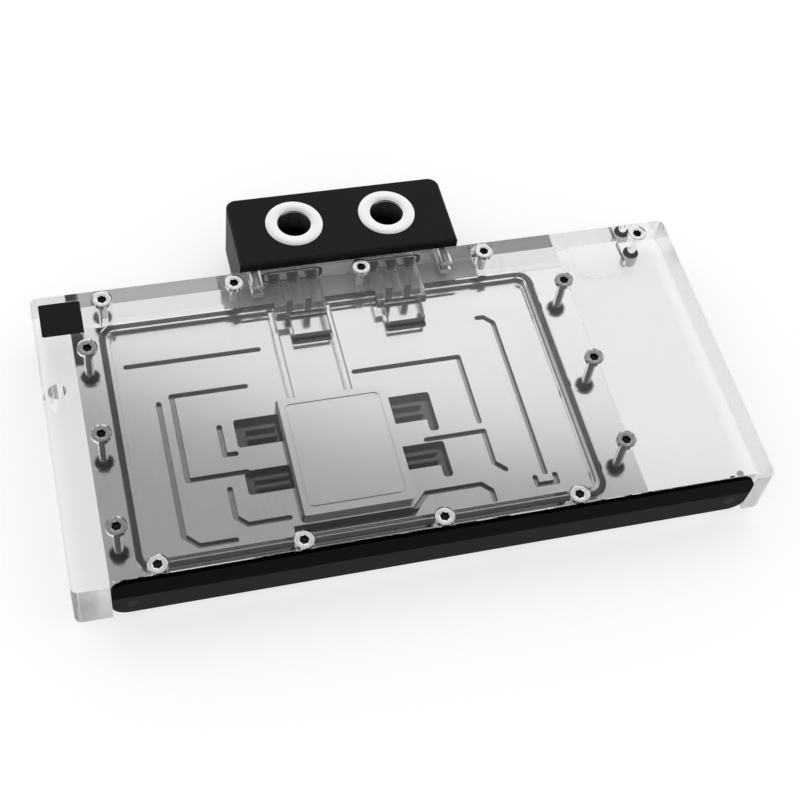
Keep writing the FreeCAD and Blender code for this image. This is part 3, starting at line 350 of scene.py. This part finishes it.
def clear_acrylic(finish):
    """Clear acrylic, polished on top and behind, with milled sides and passages."""
    made, recipe = material("clear_acrylic")
    x, y, z = (recipe.along(axis) for axis in range(3))
    corner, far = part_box("clear_block")
    inner = (recipe.between(x, corner.x + BLOCK_EDGE, far.x - BLOCK_EDGE, MASK_EDGE)
             * recipe.rise(y, corner.y + BLOCK_EDGE - MASK_EDGE, corner.y + BLOCK_EDGE))
    sides = (1 - inner) * recipe.fall(z, BLOCK_TOP - 2 * MASK_EDGE, BLOCK_TOP - MASK_EDGE)
    deep = recipe.between(z, PLATE_TOP + PASSAGE_FLOOR, BLOCK_TOP - PASSAGE_ROOF, edge=0.2 * MM)
    behind = recipe.rise(y, BLOCK_BACK - PASSAGE_DEPTH - 0.3 * MM, BLOCK_BACK - PASSAGE_DEPTH)
    at_terminal = recipe.between(x, low("terminal_block").x, high("terminal_block").x,
                                 edge=0.3 * MM)
    frost = deep * behind * at_terminal
    recipe.surface(Base_Color=finish.acrylic, Transmission_Weight=1.0, IOR=ACRYLIC_IOR,
                   Roughness=frost * finish.acrylic_frost + sides * finish.side_frost + POLISHED)
    return made


def plate_nickel(finish):
    """Bright plating with the lay of the face mill, and painted shade in its traces and deep wells.

    Behind the seal its normal leans forward, and in front of the terminal it is rougher instead.
    """
    made, recipe = material("plate_nickel")
    x, y, z = (recipe.along(axis) for axis in range(3))
    sunk, deep = (recipe.fall(z, PLATE_TOP - full, PLATE_TOP - start)
                  for full, start in (SUNK, WELLS))
    ribs = recipe.between(z, PLATE_TOP - RIB_TOPS[0], PLATE_TOP - RIB_TOPS[1], MASK_EDGE)
    above = recipe.rise(z, PLATE_FLOOR + UNDERSIDE[0], PLATE_FLOOR + UNDERSIDE[1])
    grain = recipe.noise(900.0, 3.0, (1.0, 0.08, 1.0))
    cloud = recipe.noise(30.0, 3.0)
    behind = recipe.rise(y, high("main_seal").y, high("main_seal").y + MARGIN_EDGE)
    at_terminal = recipe.between(x, low("terminal_block").x - TERMINAL_MARGIN,
                                 high("terminal_block").x + TERMINAL_MARGIN, edge=2.0 * MM)
    lean = recipe.add("ShaderNodeBump", {"invert": True},
                      {"Height": y, "Distance": MARGIN_SLOPE,
                       "Strength": behind * (1 - at_terminal),
                       "Normal": recipe.relief(grain, 0.2e-6)})
    face = recipe.mix(cloud * 0.10, finish.nickel, (0.74, 0.74, 0.73))
    # Painted shade: traces, deep wells and the ribs' tops are darkened where shade would fall in
    # them.
    floor = recipe.mix(sunk * above, face, finish.trace)
    tone = recipe.mix((deep + ribs) * above, floor, finish.well_shade)
    recipe.surface(Base_Color=tone, Metallic=1.0, Normal=lean,
                   Roughness=(grain * 0.05 + cloud * 0.03 + sunk * 0.06
                              + behind * at_terminal * finish.margin_roughness
                              + finish.nickel_roughness))
    return made


def core_metal(finish):
    """Satin steel lid brushed along x, darker engraved border, painted shade on its left edge."""
    made, recipe = material("core_metal")
    left, top = low("core_cover").x, high("core_cover").z
    grain = recipe.noise(700.0, 4.0, (0.06, 1.0, 1.0))
    engraved = recipe.fall(recipe.along(2), top - LID_LINE[0], top - LID_LINE[1])
    # Painted shade: the lid's left side is darkened where shade falls on it.
    edge = recipe.fall(recipe.along(0), left + LID_SHADE_EDGE[0], left + LID_SHADE_EDGE[1])
    face = recipe.mix(grain * 0.25, finish.core, (0.70, 0.70, 0.70))
    tone = recipe.mix(edge, recipe.mix(engraved, face, (0.80, 0.80, 0.80)), (0.16, 0.16, 0.16))
    recipe.surface(Base_Color=tone, Metallic=1.0, Roughness=grain * 0.06 + 0.13,
                   Normal=recipe.relief(grain, 0.8e-6))
    return made


def plain_metal(name, tone, roughness):
    """Metal with a faint turned or tumbled texture."""
    made, recipe = material(name)
    grain = recipe.noise(500.0, 3.0)
    darker = tuple(0.8 * level for level in tone)
    recipe.surface(Base_Color=recipe.mix(grain * 0.5, tone, darker), Metallic=1.0,
                   Roughness=grain * 0.12 + roughness, Normal=recipe.relief(grain, 1.5e-6))
    return made


def screw_metal(name, finish, tone):
    """Screws in the given tone atop their heads, with painted shade below: sides, shanks, sockets.
    """
    made, recipe = material(name)
    bright = recipe.rise(recipe.along(2), SCREW_TOP - SCREW_TOP_EDGE,
                         SCREW_TOP - 0.5 * SCREW_TOP_EDGE)
    grain = recipe.noise(700.0, 3.0)
    # Painted shade: below the rim of its head the screw takes the dark shade colour.
    recipe.surface(Base_Color=recipe.mix(bright, finish.screw_shade, tone), Metallic=1.0,
                   Roughness=grain * 0.12 + 0.22, Normal=recipe.relief(grain, 1.0e-6))
    return made


def plastic(name, tone, roughness, scale=1200.0, depth=4e-6, shine=0.5):
    """Solid-coloured plastic, rubber or paint with a fine moulded or milled skin."""
    made, recipe = material(name)
    grain = recipe.noise(scale, 3.0)
    cloud = recipe.noise(60.0)
    paler = tuple(min(1.0, 1.35 * level + 0.003) for level in tone)
    recipe.surface(Base_Color=recipe.mix(cloud * 0.6, tone, paler), Specular_IOR_Level=shine,
                   Roughness=grain * 0.10 + cloud * 0.05 + roughness,
                   Normal=recipe.relief(grain, depth))
    return made


def bar_finish(finish):
    """Light bar: a gloss band above and a satin band below, grey as a painted reflection."""
    made, recipe = material("bar_finish")
    split = low("light_bar").z + BAR_BAND
    z = recipe.along(2)
    upper = recipe.rise(z, split - MASK_EDGE, split + MASK_EDGE)
    grain = recipe.noise(900.0, 3.0, (0.05, 1.0, 1.0))
    # Painted reflection: the satin band's grey stands in for the light its face catches.
    satin = recipe.mix(grain * 0.4, finish.bar_lower_reflection, (0.036, 0.036, 0.0365))
    recipe.surface(Base_Color=recipe.mix(upper, satin, finish.bar_upper),
                   Specular_IOR_Level=BAR_SHINE,
                   Roughness=(1 - upper) * 0.30 + grain * 0.05 + 0.16,
                   Normal=recipe.relief(grain, 1.0e-6))
    return made


def ring_metal(finish):
    """Plated flange of a threaded sleeve, with painted shade in its bore and below its rim."""
    made, recipe = material("ring_metal")
    lip = high("inlet_insert").z - RING_LIP
    # Painted shade: all below the rim, the bore's thread included, is darkened.
    inside = recipe.fall(recipe.along(2), lip - 2 * MASK_EDGE, lip)
    grain = recipe.noise(800.0, 3.0)
    recipe.surface(Base_Color=recipe.mix(inside, finish.ring, (0.03, 0.03, 0.03)),
                   Metallic=1.0, Roughness=grain * 0.08 + 0.22 + inside * 0.2,
                   Normal=recipe.relief(grain, 0.8e-6))
    return made


def floor_finish(sky):
    """Pale floor that looks white itself and in glass and metal, and keeps the object's shadow."""
    made, recipe = material("studio_floor")
    directly, in_metal, in_glass = (
        recipe.add("ShaderNodeLightPath", output=name)
        for name in ("Is Camera Ray", "Is Glossy Ray", "Is Transmission Ray"))
    seen = recipe.math("MAXIMUM", directly, recipe.math("MAXIMUM", in_metal, in_glass))
    matt = recipe.add("ShaderNodeBsdfDiffuse", None, {"Color": as_rgba((FLOOR_COLOUR,) * 3)})
    glow = recipe.add("ShaderNodeEmission", None, {"Strength": 1 - FLOOR_COLOUR * sky})
    lit = recipe.add("ShaderNodeAddShader", None, {0: matt, 1: glow})
    floor = recipe.add("ShaderNodeMixShader", None, {0: seen, 1: matt, 2: lit})
    recipe.add("ShaderNodeOutputMaterial", None, {"Surface": floor}, output=None)
    return made


def paint(node, made):
    """Puts one material on every slot of a node's own object."""
    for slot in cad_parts[node].material_slots:
        slot.link = "OBJECT"
        slot.material = made


# ---- Mesh tools ---------------------------------------------------------------------------
def islands(node):
    """The box of each separate solid in a node, from left to right and front to back."""
    mesh = bmesh.new()
    mesh.from_mesh(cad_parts[node].data)
    bmesh.ops.remove_doubles(mesh, verts=mesh.verts, dist=0.001 * MM)
    left = set(mesh.verts)
    boxes = []
    while left:
        front = [left.pop()]
        corners = []
        while front:
            vertex = front.pop()
            corners.append(vertex.co.copy())
            for edge in vertex.link_edges:
                other = edge.other_vert(vertex)
                if other in left:
                    left.remove(other)
                    front.append(other)
        boxes.append((Vector(map(min, *corners)), Vector(map(max, *corners))))
    mesh.free()
    return sorted(boxes, key=lambda box: tuple(round(place, 4) for place in box[0]))


def stack_rings(mesh, rings, looped=False):
    """Joins rings of points, all of one count, into a skin: looped, or with filled ends."""
    layers = [[mesh.verts.new(point) for point in ring] for ring in rings]
    count = len(layers[0])
    following = layers[1:] + layers[:1] if looped else layers[1:]
    for lower, upper in zip(layers, following):
        for i in range(count):
            j = (i + 1) % count
            mesh.faces.new((lower[i], lower[j], upper[j], upper[i]))
    if not looped:
        mesh.faces.new(list(reversed(layers[0])))
        mesh.faces.new(layers[-1])


def round_ring(radius, z, steps):
    """Ring of points about the z axis; radius is a number or a function of the angle."""
    points = []
    for i in range(steps):
        turn = math.tau * i / steps
        reach = radius(turn) if callable(radius) else radius
        points.append(Vector((reach * math.cos(turn), reach * math.sin(turn), z)))
    return points


def hexagonal(across_flats):
    """Radius of a hexagon as a function of the angle, with a corner at 0."""
    def reach(turn):
        return across_flats / 2 / math.cos(turn % (math.pi / 3) - math.pi / 6)
    return reach


def threaded(crest, depth, pitch, z):
    """Radius of a thread at height z as a function of the angle."""
    def reach(turn):
        phase = (z / pitch - turn / math.tau) % 1.0
        return crest - depth * abs(2 * phase - 1)
    return reach


def thread_rings(crest, depth, pitch, start, end, steps, per_turn=6):
    """Rings that follow a thread from start to end."""
    count = max(2, round(abs(end - start) / pitch * per_turn))
    rings = []
    for i in range(count + 1):
        z = start + (end - start) * i / count
        rings.append(round_ring(threaded(crest, depth, pitch, z), z, steps))
    return rings


def arc_rings(centre_radius, centre_z, radius, start, end, steps, round_steps):
    """Rings of a rounded edge, with angles in degrees measured from straight out."""
    rings = []
    for i in range(steps + 1):
        turn = math.radians(start + (end - start) * i / steps)
        rings.append(round_ring(centre_radius + radius * math.cos(turn),
                                centre_z + radius * math.sin(turn), round_steps))
    return rings


def finished_piece(name, mesh, made, stands_for, sharp=32.0):
    """Turns a bmesh into a piece that rides on its body, and hides the nodes that it names."""
    bmesh.ops.recalc_face_normals(mesh, faces=mesh.faces)
    data = bpy.data.meshes.new(name)
    mesh.to_mesh(data)
    mesh.free()
    data.shade_smooth()
    data.set_sharp_from_angle(angle=math.radians(sharp))
    data.materials.append(made)
    piece = bpy.data.objects.new(name, data)
    bpy.context.scene.collection.objects.link(piece)
    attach(piece, BODY)
    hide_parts(*stands_for)


def add_copy(mesh, part, matrix):
    """Adds a bmesh to another one, moved by a matrix."""
    data = bpy.data.meshes.new("part")
    part.to_mesh(data)
    data.transform(matrix)
    mesh.from_mesh(data)
    bpy.data.meshes.remove(data)


# ---- Turned and moulded pieces ------------------------------------------------------------
def screw_mesh(head_radius, shank_length, sizes):
    """Socket head screw that stands on z = 0 under its head, threaded down to its tip."""
    edge, top = ROUNDED_EDGE, SCREW_HEAD_HEIGHT
    countersink, walls, drilled = SOCKET_DEPTHS
    rings = [round_ring(SCREW_SHANK_RADIUS - SCREW_TIP, -shank_length, ROUND_STEPS)]
    rings += thread_rings(SCREW_SHANK_RADIUS, sizes.thread_depth, sizes.thread_pitch,
                          -shank_length + SCREW_TIP, -edge, ROUND_STEPS)
    rings.append(round_ring(SCREW_SHANK_RADIUS, 0.0, ROUND_STEPS))
    rings += arc_rings(head_radius - HEAD_UNDERCUT, HEAD_UNDERCUT, HEAD_UNDERCUT, -90, 0, 2,
                       ROUND_STEPS)
    rings += arc_rings(head_radius - edge, top - edge, edge, 0, 90, 4, ROUND_STEPS)
    rings.append(round_ring(SOCKET_MOUTH * SOCKET, top, ROUND_STEPS))
    rings.append(round_ring(hexagonal(SOCKET), top - countersink, ROUND_STEPS))
    rings.append(round_ring(hexagonal(SOCKET), top - walls, ROUND_STEPS))
    rings.append(round_ring(SOCKET_DRILL * SOCKET, top - drilled, ROUND_STEPS))
    mesh = bmesh.new()
    stack_rings(mesh, rings)
    bmesh.ops.recalc_face_normals(mesh, faces=mesh.faces)
    return mesh


def upright_screws(name, node, made, sizes):
    """Detailed screws in the places of a node's plain ones."""
    mesh = bmesh.new()
    for corner, far in islands(node):
        seat = far.z - SCREW_HEAD_HEIGHT
        screw = screw_mesh((far.x - corner.x) / 2, seat - corner.z, sizes)
        turn = Matrix.Rotation(SCREW_TURN * corner.x, 4, "Z")
        centre = Vector(((corner.x + far.x) / 2, (corner.y + far.y) / 2, seat))
        add_copy(mesh, screw, Matrix.Translation(centre) @ turn)
        screw.free()
    finished_piece(name, mesh, made, (node,))


def rounded_path(x0, x1, y0, y1, radius, steps):
    """Points and outward directions round a rectangle with round corners."""
    path = []
    corners = ((x1 - radius, y1 - radius, 0), (x0 + radius, y1 - radius, 90),
               (x0 + radius, y0 + radius, 180), (x1 - radius, y0 + radius, 270))
    for x, y, start in corners:
        for i in range(steps + 1):
            turn = math.radians(start + 90 * i / steps)
            out = Vector((math.cos(turn), math.sin(turn), 0))
            path.append((Vector((x, y, 0)) + out * radius, out))
    return path


def squeezed(share):
    """A sine or cosine drawn towards 1, for the section of a squeezed cord."""
    return math.copysign(abs(share) ** SEAL_PLUMPNESS, share)


def cord_mesh(node):
    """Seal cord squeezed in its groove, on the node's own outline."""
    corner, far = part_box(node)
    half_height = (far.z - corner.z) / 2
    half_width = SEAL_WIDTH / 2
    path = rounded_path(corner.x + half_width, far.x - half_width, corner.y + half_width,
                        far.y - half_width, SEAL_CORNER - half_width, CORNER_STEPS)
    rings = []
    for point, out in path:
        ring = []
        for i in range(CORD_STEPS):
            turn = math.tau * i / CORD_STEPS
            across = squeezed(math.cos(turn)) * half_width
            up = squeezed(math.sin(turn)) * half_height
            ring.append(point + out * across + Vector((0, 0, corner.z + half_height + up)))
        rings.append(ring)
    mesh = bmesh.new()
    stack_rings(mesh, rings, looped=True)
    return mesh


def sleeve_mesh(node):
    """Flanged port sleeve with its inside thread."""
    corner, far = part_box(node)
    flange_radius = (far.x - corner.x) / 2
    bore = flange_radius - FLANGE_WIDTH
    height = far.z - corner.z
    edge = ROUNDED_EDGE
    rings = thread_rings(bore + PORT_THREAD_DEPTH, PORT_THREAD_DEPTH, PORT_PITCH, 0.0,
                         height - RING_LIP, RING_STEPS, 10)
    rings += arc_rings(bore + edge * 2, height - edge, -edge, 0, -90, 3, RING_STEPS)
    rings += arc_rings(flange_radius - edge, height - edge, edge, 90, 0, 4, RING_STEPS)
    rings.append(round_ring(flange_radius, height - FLANGE_HEIGHT, RING_STEPS))
    rings.append(round_ring(SLEEVE_RADIUS, height - FLANGE_HEIGHT, RING_STEPS))
    rings.append(round_ring(SLEEVE_RADIUS, 0.0, RING_STEPS))
    mesh = bmesh.new()
    stack_rings(mesh, rings, looped=True)
    centre = middle(node)
    bmesh.ops.translate(mesh, verts=mesh.verts, vec=(centre.x, centre.y, corner.z))
    return mesh


# ---- Operators ----------------------------------------------------------------------------
class COLDPLATE_OT_block(bpy.types.Operator):
    """Finish the clear block and the badge in its corner"""
    bl_idname = "coldplate.block"
    bl_label = "Clear block"

    def execute(self, context):
        paint("clear_block", clear_acrylic(context.scene.cold_plate_finish))
        paint("corner_badge", plastic("badge_gloss", (0.004, 0.004, 0.004), 0.2, 400.0, 1e-6,
                                      ACETAL_SHINE))
        return {"FINISHED"}


class COLDPLATE_OT_plate(bpy.types.Operator):
    """Finish the cold plate, its core lid and the jet plate"""
    bl_idname = "coldplate.plate"
    bl_label = "Cold plate"

    def execute(self, context):
        finish = context.scene.cold_plate_finish
        paint("cold_plate", plate_nickel(finish))
        paint("core_cover", core_metal(finish))
        paint("jet_plate", plain_metal("sheet_steel", (0.55, 0.55, 0.55), 0.3))
        return {"FINISHED"}


class COLDPLATE_OT_seals(bpy.types.Operator):
    """Model the main seal and finish the small rings"""
    bl_idname = "coldplate.seals"
    bl_label = "Seals"

    def execute(self, context):
        rubber = plastic("seal_rubber", tuple(context.scene.cold_plate_finish.rubber), 0.45)
        finished_piece("main_seal_cord", cord_mesh("main_seal"), rubber,
                       ("main_seal",), sharp=60.0)
        for side in ("inlet", "outlet"):
            for place in ("insert", "plug", "passage"):
                paint(side + "_" + place + "_seal", rubber)
        return {"FINISHED"}


class COLDPLATE_OT_terminal(bpy.types.Operator):
    """Finish the terminal with its plugs, screws and threaded inserts"""
    bl_idname = "coldplate.terminal"
    bl_label = "Terminal"

    def execute(self, context):
        acetal = plastic("terminal_acetal", tuple(context.scene.cold_plate_finish.acetal), 0.42,
                         shine=ACETAL_SHINE)
        for node in ("terminal_block", "inlet_plug", "outlet_plug"):
            paint(node, acetal)
        paint("terminal_screws", plain_metal("black_oxide", (0.06, 0.06, 0.062), 0.35))
        paint("terminal_inserts", plain_metal("insert_metal", (0.30, 0.29, 0.27), 0.3))
        return {"FINISHED"}


class COLDPLATE_OT_ports(bpy.types.Operator):
    """Model the flanged sleeves of the ports with their threads"""
    bl_idname = "coldplate.ports"
    bl_label = "Ports"

    def execute(self, context):
        made = ring_metal(context.scene.cold_plate_finish)
        for side in ("inlet", "outlet"):
            node = side + "_insert"
            finished_piece(side + "_sleeve", sleeve_mesh(node), made, (node,))
        return {"FINISHED"}


class COLDPLATE_OT_screws(bpy.types.Operator):
    """Model the cover screws with their sockets and threads"""
    bl_idname = "coldplate.screws"
    bl_label = "Cover screws"

    def execute(self, context):
        finish = context.scene.cold_plate_finish
        sizes = context.scene.cold_plate_sizes
        bright = screw_metal("screw_bright", finish, finish.steel)
        # The side screws' darker tops are a painted-shade copy of the same steel.
        shaded = screw_metal("screw_shaded", finish, finish.shaded_steel)
        for row, made in (("front_cover_screws", bright), ("back_cover_screws", bright),
                          ("left_cover_screws", shaded), ("right_cover_screws", shaded),
                          ("corner_screw", bright)):
            upright_screws(row + "_turned", row, made, sizes)
        return {"FINISHED"}


class COLDPLATE_OT_light_bar(bpy.types.Operator):
    """Finish the light bar, its screws and the strip of lamps behind it"""
    bl_idname = "coldplate.light_bar"
    bl_label = "Light bar"

    def execute(self, context):
        paint("light_bar", bar_finish(context.scene.cold_plate_finish))
        paint("light_bar_screws", plain_metal("bar_screw_black", (0.012, 0.012, 0.012), 0.4))
        paint("light_board", plastic("board_mask", (0.010, 0.010, 0.010), 0.3))
        paint("lamps", plastic("lamp_housing", (0.30, 0.29, 0.24), 0.3))
        return {"FINISHED"}


class COLDPLATE_OT_standoffs(bpy.types.Operator):
    """Finish the standoffs"""
    bl_idname = "coldplate.standoffs"
    bl_label = "Standoffs"

    def execute(self, context):
        made = plain_metal("standoff_nickel", (0.50, 0.49, 0.46), 0.25)
        for node in ("corner_standoff", "front_standoff", "chip_standoffs", "edge_standoffs"):
            paint(node, made)
        return {"FINISHED"}


class COLDPLATE_OT_stage(bpy.types.Operator):
    """Set up the floor, the light and the camera"""
    bl_idname = "coldplate.stage"
    bl_label = "Studio"

    def execute(self, context):
        scene = context.scene
        studio = scene.cold_plate_studio
        make_floor(studio.sky)
        light_world(scene, studio.sky)
        soft_light("key_light", KEY_PLACE, KEY_SIZE, studio.key)
        aim_camera(scene, studio)
        for kind in ("max_bounces", "glossy_bounces", "transmission_bounces"):
            setattr(scene.cycles, kind, LIGHT_BOUNCES)
        scene.view_settings.view_transform = "Standard"
        return {"FINISHED"}


# ---- Studio -------------------------------------------------------------------------------
def make_floor(sky):
    """Wide flat floor just under the object."""
    mesh = bmesh.new()
    bmesh.ops.create_grid(mesh, x_segments=1, y_segments=1, size=FLOOR_REACH)
    data = bpy.data.meshes.new("floor")
    mesh.to_mesh(data)
    mesh.free()
    floor = bpy.data.objects.new("floor", data)
    floor.location.z = CAD_BOX[0].z - FLOOR_GAP
    data.materials.append(floor_finish(sky))
    bpy.context.scene.collection.objects.link(floor)


def light_world(scene, sky):
    """Even light for matt surfaces; mirrors and glass see white walls under a greyer ceiling."""
    world = bpy.data.worlds.new("studio")
    scene.world = world
    world.use_nodes = True
    recipe = Recipe(world.node_tree)
    direction = recipe.add("ShaderNodeTexCoord", output="Generated")
    x, y, z = (recipe.add("ShaderNodeSeparateXYZ", None, {0: direction}, output=axis)
               for axis in range(3))
    back = y + x * PANEL_TILT
    zones = [recipe.rise(back, start, end) * step for start, end, step in CEILING_ZONES]
    ceiling = sum(zones) + recipe.rise(z, *SOFTBOX_EDGE) * SOFTBOX_LEVEL + CEILING_FRONT
    above = recipe.rise(z, *WALL_EDGE)
    room = ceiling * above + (1 - above)
    seen_plainly, matt_bounces = (recipe.add("ShaderNodeLightPath", output=name)
                                  for name in ("Is Camera Ray", "Diffuse Depth"))
    scattered = recipe.math("GREATER_THAN", matt_bounces, 0.5)
    level = room * (1 - scattered) + scattered * sky
    level = level * (1 - seen_plainly) + seen_plainly
    shown = recipe.add("ShaderNodeBackground", None, {"Color": level, "Strength": 1.0})
    world.cycles.sampling_method = "NONE"
    recipe.add("ShaderNodeOutputWorld", None, {"Surface": shown}, output=None)


def soft_light(name, place, size, power):
    """Square soft light that faces the object."""
    data = bpy.data.lights.new(name, "AREA")
    data.size = size
    data.energy = power
    light = bpy.data.objects.new(name, data)
    light.location = place
    light.rotation_euler = (-Vector(place)).to_track_quat("-Z", "Y").to_euler()
    bpy.context.scene.collection.objects.link(light)


def aim_camera(scene, studio):
    """Camera from its place, heading, pitch and roll."""
    data = bpy.data.cameras.new("camera")
    data.lens = studio.lens
    camera = bpy.data.objects.new("camera", data)
    camera.matrix_world = (Matrix.Translation(studio.place)
                           @ Matrix.Rotation(-studio.heading, 4, "Z")
                           @ Matrix.Rotation(math.pi / 2 - studio.pitch, 4, "X")
                           @ Matrix.Rotation(studio.roll, 4, "Z"))
    scene.collection.objects.link(camera)
    scene.camera = camera


# ---- Panel and registration ---------------------------------------------------------------
BUILD_ORDER = (COLDPLATE_OT_block, COLDPLATE_OT_plate, COLDPLATE_OT_seals, COLDPLATE_OT_terminal,
               COLDPLATE_OT_ports, COLDPLATE_OT_screws, COLDPLATE_OT_light_bar,
               COLDPLATE_OT_standoffs, COLDPLATE_OT_stage)


class COLDPLATE_PT_panel(bpy.types.Panel):
    """Builds the pieces and holds their settings"""
    bl_idname = "COLDPLATE_PT_panel"
    bl_label = "Cold Plate"
    bl_space_type = "VIEW_3D"
    bl_region_type = "UI"
    bl_category = "Cold Plate"

    def draw(self, context):
        for group in (context.scene.cold_plate_finish, context.scene.cold_plate_sizes,
                      context.scene.cold_plate_studio):
            for name in group.__annotations__:
                self.layout.prop(group, name)
        for operator in BUILD_ORDER:
            self.layout.operator(operator.bl_idname)


GROUPS = {"cold_plate_finish": ColdPlateFinish, "cold_plate_sizes": ColdPlateSizes,
          "cold_plate_studio": ColdPlateStudio}


def register():
    """Makes the settings, operators and panel known to Blender."""
    for kind in (*GROUPS.values(), *BUILD_ORDER, COLDPLATE_PT_panel):
        bpy.utils.register_class(kind)
    for name, kind in GROUPS.items():
        setattr(bpy.types.Scene, name, bpy.props.PointerProperty(type=kind))


def unregister():
    """Takes them out again."""
    for name in GROUPS:
        delattr(bpy.types.Scene, name)
    for kind in (COLDPLATE_PT_panel, *reversed(BUILD_ORDER), *GROUPS.values()):
        bpy.utils.unregister_class(kind)


def main():
    """Builds everything."""
    register()
    for operator in BUILD_ORDER:
        group, name = operator.bl_idname.split(".")
        if getattr(getattr(bpy.ops, group), name)() != {"FINISHED"}:
            raise RuntimeError(operator.bl_label + " did not finish")


if __name__ == "__main__":
    main()
